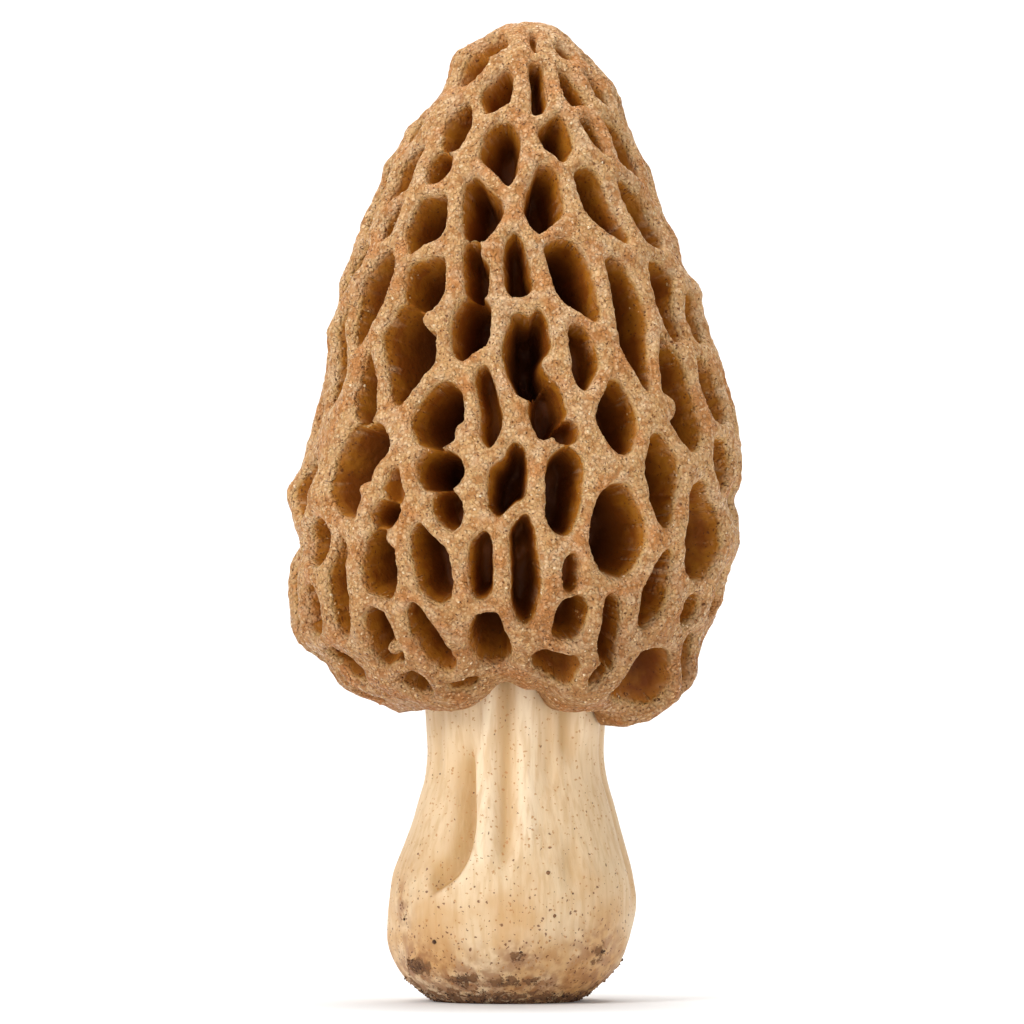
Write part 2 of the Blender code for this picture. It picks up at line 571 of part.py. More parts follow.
def build_stem():
    side = along([(radius, height) for height, radius in STEM_OUTLINE], STEM_STEP_DOWN)
    top = [(radius, STEM_TOP) for radius in STEM_TOP_RADII]
    bottom = [(radius, 0.0) for radius in FOOT_RADII]
    bm = turned(top + [tuple(point) for point in side] + bottom, STEM_STEPS_ROUND)
    points = places(bm)
    angle, radius, height = round_places(points)
    share = radius / through(STEM_OUTLINE, height)
    foot = rise(*FOOT_LUMP_RISE, height) * (1 - rise(*FOOT_LUMP_FADE, height))
    lumps = FOOT_LUMPS * wave(points, FOOT_LUMP_LENGTH, WAVE_SHIFTS["foot"]) * foot
    moved = stem_points(angle, (stem_radius(angle, height) + lumps) * share, height)
    move_to(bm, np.round(moved * MM, ROUND_DIGITS))
    return finish("stem", bm, material("stem_flesh", *STEM_FLESH), STEM_TRIANGLES)


def material(name, colour, roughness):
    made = bpy.data.materials.new(name)
    made.use_nodes = True
    shader = made.node_tree.nodes["Principled BSDF"]
    shader.inputs["Base Color"].default_value = (*colour, 1.0)
    shader.inputs["Roughness"].default_value = roughness
    shader.inputs["Metallic"].default_value = 0.0
    return made


def finish(name, bm, look, triangles):
    """Makes the object, with a modifier that thins its mesh to about the given triangles."""
    bmesh.ops.translate(bm, verts=bm.verts, vec=(FOOT_OFFSET * MM, 0.0, 0.0))
    mesh = bpy.data.meshes.new(name)
    bm.to_mesh(mesh)
    bm.free()
    mesh.materials.append(look)
    mesh.shade_smooth()
    mesh.calc_loop_triangles()
    made = bpy.data.objects.new(name, mesh)
    bpy.context.scene.collection.objects.link(made)
    thin = made.modifiers.new("Thin out", "DECIMATE")
    thin.ratio = triangles / len(mesh.loop_triangles)
    return made


def main():
    for old in list(bpy.data.objects):
        bpy.data.objects.remove(old, do_unlink=True)
    build_cap()
    build_stem()


main()
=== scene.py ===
import math
import random

import bmesh
import bpy
import numpy as np
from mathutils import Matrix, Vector, noise


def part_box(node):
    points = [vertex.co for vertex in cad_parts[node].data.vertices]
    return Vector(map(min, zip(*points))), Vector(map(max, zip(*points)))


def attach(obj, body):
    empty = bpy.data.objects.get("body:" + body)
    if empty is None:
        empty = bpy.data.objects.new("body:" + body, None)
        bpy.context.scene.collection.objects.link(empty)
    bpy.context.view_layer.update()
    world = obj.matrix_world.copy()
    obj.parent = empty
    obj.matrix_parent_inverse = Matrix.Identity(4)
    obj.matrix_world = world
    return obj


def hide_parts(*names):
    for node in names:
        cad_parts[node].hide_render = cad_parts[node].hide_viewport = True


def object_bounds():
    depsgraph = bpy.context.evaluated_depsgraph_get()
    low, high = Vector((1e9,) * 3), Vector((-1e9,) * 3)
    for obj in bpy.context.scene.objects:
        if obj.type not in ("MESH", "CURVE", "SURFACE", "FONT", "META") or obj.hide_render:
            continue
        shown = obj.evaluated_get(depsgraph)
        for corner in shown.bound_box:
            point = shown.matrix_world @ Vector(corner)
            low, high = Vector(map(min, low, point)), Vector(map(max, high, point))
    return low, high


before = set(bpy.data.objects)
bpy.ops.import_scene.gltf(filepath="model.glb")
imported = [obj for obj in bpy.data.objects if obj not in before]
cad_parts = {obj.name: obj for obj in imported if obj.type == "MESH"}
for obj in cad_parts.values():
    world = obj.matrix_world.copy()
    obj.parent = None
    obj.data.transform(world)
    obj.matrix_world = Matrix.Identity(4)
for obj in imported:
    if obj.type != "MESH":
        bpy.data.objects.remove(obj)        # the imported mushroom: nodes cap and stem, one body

# A morel: the cap with its net of ridges and the fluted stem are built again with fine relief,
# then painted, with grains strewn over the ridges and crumbs of earth over the foot.
# Shapes are worked out in millimetres and turned into metres when a mesh is finished.
mm = 0.001
mergeDistance = 1e-4    # in mm
tiny = 1e-6             # keeps a division away from zero
cadLow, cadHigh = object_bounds()
sideRoom = np.array((2e-5, 2e-5, 0.0))   # in metres, kept free inside the sides of the CAD box
footOffset = 1.0        # the shapes' middle line stands this far right of the flat spot's middle
# where in the noise each kind of relief starts, so that no two are alike
wavePlaces = {"edge": 3.0, "floor": 13.0, "swell": 9.0, "foot": 5.0, "bead": 21.0, "grain": 27.0,
              "fold": 33.0, "soil": 39.0, "fibre": 45.0}


# Curves and waves

def through(table, at):
    # smooth curve through (height, value) pairs
    table = np.array(table, float)
    heights, values = table[np.argsort(table[:, 0])].T
    slopes = np.gradient(values, heights)
    i = np.clip(np.searchsorted(heights, at) - 1, 0, len(heights) - 2)
    gap = heights[i + 1] - heights[i]
    s = np.clip((at - heights[i]) / gap, 0.0, 1.0)
    start = values[i] * (1 + 2 * s) + slopes[i] * gap * s
    end = values[i + 1] * (3 - 2 * s) + slopes[i + 1] * gap * (s - 1)
    return start * (1 - s) ** 2 + end * s ** 2


def rise(low, high, at):
    # 0 up to low, 1 from high on, and smooth between
    s = np.clip((at - low) / (high - low), 0.0, 1.0)
    return s * s * (3 - 2 * s)


def turnBetween(angle, other):
    # the shorter way round, in radians
    return (angle - other + math.pi) % (2 * math.pi) - math.pi


def along(points, step):
    # points a step apart on a smooth curve through the given ones
    points = np.array(points, float)
    place = np.r_[0.0, np.cumsum(np.hypot(*np.diff(points, axis=0).T))]
    fine = np.linspace(0.0, place[-1], 40 * len(points))
    curve = np.column_stack([through(np.column_stack((place, side)), fine) for side in points.T])
    length = np.r_[0.0, np.cumsum(np.hypot(*np.diff(curve, axis=0).T))]
    even = np.linspace(0.0, length[-1], round(length[-1] / step) + 1)
    return np.column_stack([np.interp(even, length, side) for side in curve.T])


def wave(points, length, name, stretch=(1.0, 1.0, 1.0)):
    # smooth noise, about -1 to 1; a stretch over 1 draws it out that way
    moved = points / (np.array(stretch) * length) + wavePlaces[name]
    return np.array([noise.noise(place) for place in moved.tolist()])


def smaller(one, other, rounding):
    # the smaller of the two, with a rounded change from one to the other
    blend = np.clip(0.5 + 0.5 * (one - other) / rounding, 0.0, 1.0)
    return one + (other - one) * blend - rounding * blend * (1 - blend)


# Meshes

def turnedMesh(profile, steps):
    # spins (radius, height) points round Z; both ends of the profile are on the axis
    bm = bmesh.new()
    verts = [bm.verts.new((radius, 0.0, height)) for radius, height in profile]
    edges = [bm.edges.new(pair) for pair in zip(verts, verts[1:])]
    bmesh.ops.spin(bm, geom=verts + edges, cent=(0, 0, 0), axis=(0, 0, 1), dvec=(0, 0, 0),
                   angle=2 * math.pi, steps=steps, use_merge=True, use_duplicate=False)
    bmesh.ops.remove_doubles(bm, verts=bm.verts, dist=mergeDistance)
    bmesh.ops.recalc_face_normals(bm, faces=bm.faces)
    bm.normal_update()
    return bm


def placesOf(bm):
    return np.array([vert.co for vert in bm.verts])


def numbersOf(items, name, each=1, kind=np.float32):
    # what every item of a mesh keeps under a name, one row per item
    numbers = np.zeros(each * len(items), kind)
    items.foreach_get(name, numbers)
    return numbers.reshape(-1, each) if each > 1 else numbers


def insideBox(points, node):
    # keeps points in metres within the box of the CAD node
    low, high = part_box(node)
    return np.clip(points, np.array(low) + sideRoom, np.array(high) - sideRoom)


def moveTo(bm, points, node):
    # puts the mesh's points at these places in mm
    shifted = insideBox((points + np.array((footOffset, 0.0, 0.0))) * mm, node)
    for vert, point in zip(bm.verts, shifted.tolist()):
        vert.co = point


def finishMesh(name, bm, look, values=None, triangles=None):
    # values are numbers per point that the material reads; triangles thins the mesh
    mesh = bpy.data.meshes.new(name)
    bm.to_mesh(mesh)
    bm.free()
    for label, numbers in (values or {}).items():
        layer = mesh.attributes.new(label, "FLOAT", "POINT")
        layer.data.foreach_set("value", np.asarray(numbers, np.float32))
    piece = bpy.data.objects.new(name, mesh)
    bpy.context.scene.collection.objects.link(piece)
    if triangles:
        mesh.calc_loop_triangles()
        thin = piece.modifiers.new("Thin out", "DECIMATE")
        thin.ratio = triangles / len(mesh.loop_triangles)
        bakeModifiers(piece)
    piece.data.materials.clear()
    piece.data.materials.append(look)
    piece.data.shade_smooth()
    return piece


def bakeModifiers(piece):
    # makes what the modifiers give the piece's own mesh
    old = piece.data
    name = old.name
    ready = piece.evaluated_get(bpy.context.evaluated_depsgraph_get())
    piece.data = bpy.data.meshes.new_from_object(ready)
    piece.modifiers.clear()
    bpy.data.meshes.remove(old)
    piece.data.name = name


# Stem

stemForm = {
    "outline": [
        (37.6, 10.0), (33.0, 10.1), (30.0, 9.9), (27.0, 9.8), (24.6, 10.1), (22.0, 10.8),
        (19.5, 11.5), (17.0, 12.3), (14.2, 13.2), (11.2, 13.6), (8.6, 13.5), (6.2, 13.1),
        (4.4, 12.4), (2.6, 11.1), (1.2, 9.5), (0.3, 8.2), (0.0, 7.6),
    ],   # height and radius
    # height and how far the middle stands to the side
    "lean": [
        (37.6, 0.0), (27.0, 0.0), (20.0, 0.0), (14.0, -0.3), (8.0, -0.5), (3.0, -0.9), (0.0, -1.0),
    ],
    "depthShare": 0.95,
    # sideways place at the top and the bottom, top and bottom heights, half width, height
    "flutes": [
        (-2.7, -3.0, 42.0, 14.0, 1.0, 0.6),
        (-1.2, -1.0, 42.0, 13.5, 0.9, -0.7),
        (1.0, 1.3, 42.0, 15.0, 1.2, 0.5),
        (3.4, 3.8, 42.0, 22.0, 0.9, -0.35),
        (5.3, 5.7, 42.0, 25.0, 1.0, -0.7),
        (7.2, 7.4, 42.0, 27.0, 1.0, 0.4),
        (6.0, 6.6, 20.0, 11.0, 1.4, -0.45),
        (-6.2, -6.6, 42.0, 30.0, 1.0, -0.4),
        (-8.0, -8.8, 42.0, 22.0, 1.3, -0.4),
    ],
    "fluteFade": 4.0,
    "hollowEdge": [(-4.3, 31.5), (-4.1, 24.0), (-4.1, 18.4), (-4.8, 15.6), (-6.2, 13.6), (-8.2, 12.3)],
    "hollowStep": 0.25, "hollowDepth": 1.6, "hollowWidth": 3.2, "hollowWall": 1.0,
    "hollowLip": 0.35, "hollowLipWidth": 1.3, "hollowFullShare": 0.45, "hollowEndFade": 2.0,
    "footLumps": 0.35, "footLumpLength": 4.5, "footLumpRise": (0.2, 3.0), "footLumpFade": (9.0, 16.0),
    "backFlutes": 8, "backFluteDepth": 0.5, "backFluteDegrees": (80, 300), "backFluteStray": 0.2,
    "backFluteWidths": (0.9, 1.5), "backFluteShares": (0.6, 1.0), "backFluteRise": (7.0, 16.0),
    "topRadii": (0.0, 4.0, 8.0), "footRadii": (5.0, 2.5, 0.0), "top": 37.6, "seed": 7,
    "stepsRound": 440, "stepDown": 0.27,
    # fine relief: fibres that run up the stem, and the roughness of the earth on the foot
    "fibre": 0.05, "fibreLength": 0.55, "fibreStretch": (1.0, 1.0, 9.0),
    "soilRelief": 0.22, "soilReliefLength": 0.7, "soilReliefLift": 0.4,
    "reliefRise": (0.0, 0.6),       # the flat spot stays flat
    # the fold also gives the painted shade in the grooves and the painted light on the ridges
    "foldShadeAndLightRange": (-0.6, 1.4),       # kept for the material: ridges below 0, grooves above
}

soil = {
    # sideways place, height, half width, half height and strength of the patches that the front shows
    "patches": [
        (-10.7, 4.1, 2.6, 1.4, 1.0), (-5.5, 2.7, 3.0, 1.2, 0.9), (0.2, 5.2, 1.3, 0.9, 0.8),
        (0.0, 2.5, 6.0, 0.9, 0.8), (9.0, 5.5, 2.4, 1.8, 0.7), (-12.4, 9.8, 1.0, 2.6, 0.6),
        (11.5, 4.0, 1.6, 1.5, 0.7),
    ],
    "backPatches": 9, "backDegrees": (70, 290), "backPlaces": (1.0, 8.0),
    "backWidths": (1.5, 4.0), "backHeights": (0.8, 2.4), "backStrengths": (0.6, 1.0),
    "rimTop": (0.6, 3.0), "rimStrength": 0.75, "cleanFrom": (12.0, 14.0),
    "ragged": 0.45, "raggedLength": 1.6, "fineRagged": 0.3, "fineRaggedLength": 0.6,
    "edge": (0.45, 0.75), "seed": 31, "stainStrength": 0.8, "stainTop": (0.5, 9.0), "stainSpread": 1.9,
    "crumbs": 900, "crumbRadii": (0.07, 0.24), "crumbPower": 3, "crumbLumps": 0.25, "crumbSoil": 0.5,
    # single crumbs on the front: sideways place, height, radius
    "frontCrumbs": [
        (3.6, 14.5, 0.3), (4.3, 9.8, 0.24), (-8.8, 6.9, 0.32), (-8.2, 25.1, 0.12), (-4.5, 23.1, 0.1),
        (6.3, 12.2, 0.14), (6.5, 19.2, 0.1),
    ],
}


def strewnFlutes():
    # the flutes of the back: angle, half width and height of each
    draw = random.Random(stemForm["seed"])
    first, last = stemForm["backFluteDegrees"]
    stray = stemForm["backFluteStray"]
    gap = (last - first) / stemForm["backFlutes"]
    flutes = []
    for number in range(stemForm["backFlutes"]):
        middle = math.radians(first + gap * (number + draw.uniform(-stray, stray)))
        width = draw.uniform(*stemForm["backFluteWidths"])
        depth = draw.uniform(*stemForm["backFluteShares"]) * stemForm["backFluteDepth"]
        flutes.append((middle, width, -depth))
    return flutes


def hollowHeight(around, height):
    # the hollow on the front, and the lip on its right
    edge = along(stemForm["hollowEdge"], stemForm["hollowStep"])
    offX = around[:, None] - edge[:, 0]
    offZ = height[:, None] - edge[:, 1]
    row = np.arange(len(around))
    near = np.hypot(offX, offZ).argmin(axis=1)
    run = np.gradient(edge, axis=0)[near]
    run /= np.linalg.norm(run, axis=1)[:, None]
    away = offX[row, near] * -run[:, 1] + offZ[row, near] * run[:, 0]
    past = np.abs(offX[row, near] * run[:, 0] + offZ[row, near] * run[:, 1])
    share = near / (len(edge) - 1)
    strength = rise(0.0, stemForm["hollowFullShare"], share)
    strength *= 1 - rise(0.0, stemForm["hollowEndFade"], past)
    wall = rise(0.0, stemForm["hollowWall"], -away)
    left = np.where(away < 0, wall * np.exp(-(away / stemForm["hollowWidth"]) ** 2), 0.0)
    right = np.where(away < 0, 1 - wall, np.exp(-(away / stemForm["hollowLipWidth"]) ** 2))
    return strength * (stemForm["hollowLip"] * right - stemForm["hollowDepth"] * left)


def stemRadius(angle, height):
    plain = through(stemForm["outline"], height)
    radius = plain.copy()
    fade = stemForm["fluteFade"]
    for topPlace, bottomPlace, top, bottom, width, size in stemForm["flutes"]:
        place = bottomPlace + (topPlace - bottomPlace) * (height - bottom) / (top - bottom)
        middle = np.arcsin(np.clip(place / plain, -1, 1))
        away = plain * turnBetween(angle, middle) / width
        shown = rise(bottom, bottom + fade, height) * (1 - rise(top - fade, top, height))
        radius += size * np.exp(-away ** 2) * shown
    upper = rise(*stemForm["backFluteRise"], height)
    for middle, width, size in strewnFlutes():
        radius += size * np.exp(-(plain * turnBetween(angle, middle) / width) ** 2) * upper
    return radius + hollowHeight(plain * turnBetween(angle, 0.0), height)


def stemPoints(angle, radius, height):
    # leans the round stem and thins it front to back
    side = through(stemForm["lean"], height) + radius * np.sin(angle)
    return np.column_stack((side, -stemForm["depthShare"] * radius * np.cos(angle), height))


def soilAt(points, angle, height):
    # earth on each point of the stem, the same before its edges are made ragged, and brown stains
    draw = random.Random(soil["seed"])
    plain = through(stemForm["outline"], height)
    patches = []
    for place, top, width, tall, strength in soil["patches"]:
        reach = float(through(stemForm["outline"], top))
        lean = float(through(stemForm["lean"], top))
        middle = math.asin(max(-1.0, min(1.0, (place - lean) / reach)))
        patches.append((middle, top, width, tall, strength))
    for _ in range(soil["backPatches"]):
        middle = math.radians(draw.uniform(*soil["backDegrees"]))
        patches.append((middle, draw.uniform(*soil["backPlaces"]), draw.uniform(*soil["backWidths"]),
                        draw.uniform(*soil["backHeights"]), draw.uniform(*soil["backStrengths"])))
    amount = soil["rimStrength"] * (1 - rise(*soil["rimTop"], height))
    stain = soil["stainStrength"] * (1 - rise(*soil["stainTop"], height))
    for middle, top, width, tall, strength in patches:
        away = (plain * turnBetween(angle, middle) / width) ** 2 + ((height - top) / tall) ** 2
        amount = np.maximum(amount, strength * np.exp(-away))
        stain = np.maximum(stain, strength * np.exp(-away / soil["stainSpread"] ** 2))
    even = amount * (1 - rise(*soil["cleanFrom"], height))
    amount = even + soil["ragged"] * wave(points, soil["raggedLength"], "soil")
    amount += soil["fineRagged"] * wave(points, soil["fineRaggedLength"], "grain")
    return rise(*soil["edge"], amount), even, stain


def buildStem(look):
    side = along([(radius, height) for height, radius in stemForm["outline"]], stemForm["stepDown"])
    top = [(radius, stemForm["top"]) for radius in stemForm["topRadii"]]
    bottom = [(radius, 0.0) for radius in stemForm["footRadii"]]
    bm = turnedMesh(top + [tuple(point) for point in side] + bottom, stemForm["stepsRound"])
    points = placesOf(bm)
    x, y, height = points.T
    angle, radius = np.arctan2(x, -y), np.hypot(x, y)
    plain = through(stemForm["outline"], height)
    fluted = stemRadius(angle, height)
    foot = rise(*stemForm["footLumpRise"], height) * (1 - rise(*stemForm["footLumpFade"], height))
    lumps = stemForm["footLumps"] * wave(points, stemForm["footLumpLength"], "foot") * foot
    earth, even, stain = soilAt(points, angle, height)
    fibres = wave(points, stemForm["fibreLength"], "fibre", stemForm["fibreStretch"])
    fibres *= stemForm["fibre"]
    clods = stemForm["soilReliefLift"] + wave(points, stemForm["soilReliefLength"], "soil")
    rough = stemForm["soilRelief"] * earth * clods
    relief = (fibres + rough) * rise(*stemForm["reliefRise"], height)
    moved = stemPoints(angle, (fluted + lumps + relief) * radius / plain, height)
    moveTo(bm, moved, "stem")
    # the fold is painted as shade in the grooves and as light on the ridges
    values = {"fold": np.clip(plain - fluted, *stemForm["foldShadeAndLightRange"]), "soil": earth, "dirt": even,
              "stain": stain, "height": height}
    piece = finishMesh("fine_stem", bm, look, values)
    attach(piece, "root")
    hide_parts("stem")
    print("stem:", len(piece.data.polygons), "faces")
    return piece


def buildCrumbs(stem, look):
    # crumbs of earth, half sunk into the stem where it is dirty
    draw = random.Random(soil["seed"])
    mesh = stem.data
    earth = numbersOf(mesh.attributes["soil"].data, "value")
    dirty = np.flatnonzero(earth > soil["crumbSoil"]).tolist()
    least, most = soil["crumbRadii"]
    spots = []
    for _ in range(soil["crumbs"]):
        vert = mesh.vertices[draw.choice(dirty)]
        radius = least + (most - least) * draw.random() ** soil["crumbPower"]
        spots.append((vert.co.copy(), radius * mm))
    for place, height, radius in soil["frontCrumbs"]:
        aim = Vector(((place + footOffset) * mm, cadLow.y, height * mm))
        found, hit, normal, index = stem.ray_cast(aim - Vector((0, mm, 0)), Vector((0, 1, 0)))
        if found:
            spots.append((hit, radius * mm))
    bm = bmesh.new()
    low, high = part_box("stem")
    for place, radius in spots:
        crumb = bmesh.ops.create_icosphere(bm, subdivisions=1, radius=radius)["verts"]
        place.z = max(place.z, low.z + radius)
        place.y = max(low.y + radius, min(high.y - radius, place.y))
        place.x = max(low.x + radius, min(high.x - radius, place.x))
        for vert in crumb:
            vert.co = place + vert.co * (1.0 - soil["crumbLumps"] * draw.random())
    piece = finishMesh("soil_crumbs", bm, look)
    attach(piece, "root")
    print("crumbs:", len(spots))
    return piece


# Cap

capForm = {
    "outline": [
        (0.0, 107.9), (2.9, 107.3), (5.9, 105.2), (8.6, 101.4), (11.6, 96.4), (15.1, 89.2),
        (18.6, 80.8), (21.1, 72.6), (23.3, 64.0), (24.5, 55.5), (24.3, 47.5), (22.9, 41.3),
        (20.3, 36.6), (16.6, 33.5), (12.9, 32.2),
    ],   # radius and height over the tops of the ridges
    "depthShare": 0.96,
    "lean": [
        (107.4, 1.1), (101.0, 1.3), (95.0, 0.6), (88.0, 0.0), (80.0, 0.2), (74.0, 0.5), (67.0, 1.3),
        (61.0, 0.9), (54.0, 0.1), (46.0, -0.8), (40.0, -1.4), (36.0, -0.5), (32.0, 0.2),
    ],
    # side (-1 left, 1 right), height, size, half spread
    "sideSwells": [
        (-1, 104.0, 1.2, 2.2), (-1, 95.8, 0.6, 1.6), (-1, 92.3, 0.9, 1.8), (-1, 79.0, 0.5, 1.8),
        (-1, 73.8, 0.6, 1.8), (-1, 56.0, 1.2, 2.0), (-1, 50.2, -1.3, 2.0), (-1, 40.0, 0.4, 1.5),
        (-1, 37.2, -0.8, 1.2), (1, 100.6, 0.9, 2.6), (1, 91.5, 0.7, 2.0), (1, 84.0, 0.8, 1.8),
        (1, 78.5, 0.8, 1.8), (1, 70.0, 0.4, 1.8), (1, 55.2, -0.8, 1.4), (1, 50.0, 0.5, 1.8),
        (1, 43.0, 0.4, 1.8), (1, 35.8, 0.8, 1.4),
    ],
    # degrees round the cap, lift, half spread in degrees
    "rimLobes": [
        (-5, 3.1, 11), (11, 1.6, 7), (-19, 0.5, 8), (28, -0.5, 10), (66, -2.2, 11), (-63, -0.3, 12),
        (96, 0.5, 10), (112, -0.7, 13), (133, 0.8, 11), (158, -0.8, 12), (-172, 0.8, 13),
        (-145, -0.8, 12), (-118, 0.7, 12), (-92, -0.5, 12),
    ],
    "rimLiftTop": 45.0, "rimFade": (12.2, 15.0),
    # the recess that the top of the stem stands in
    "recessRoom": 0.45, "recessRadius": 10.5, "recessTop": 38.2, "recessSlack": 0.1,
    "recessWall": (32.6, 34.0, 35.5, 37.0, 38.2), "recessRoof": (7.0, 3.5, 0.0),
    "placingStep": 0.46, "stepDown": 0.25, "stepsRound": 620, "triangles": 196000,
}

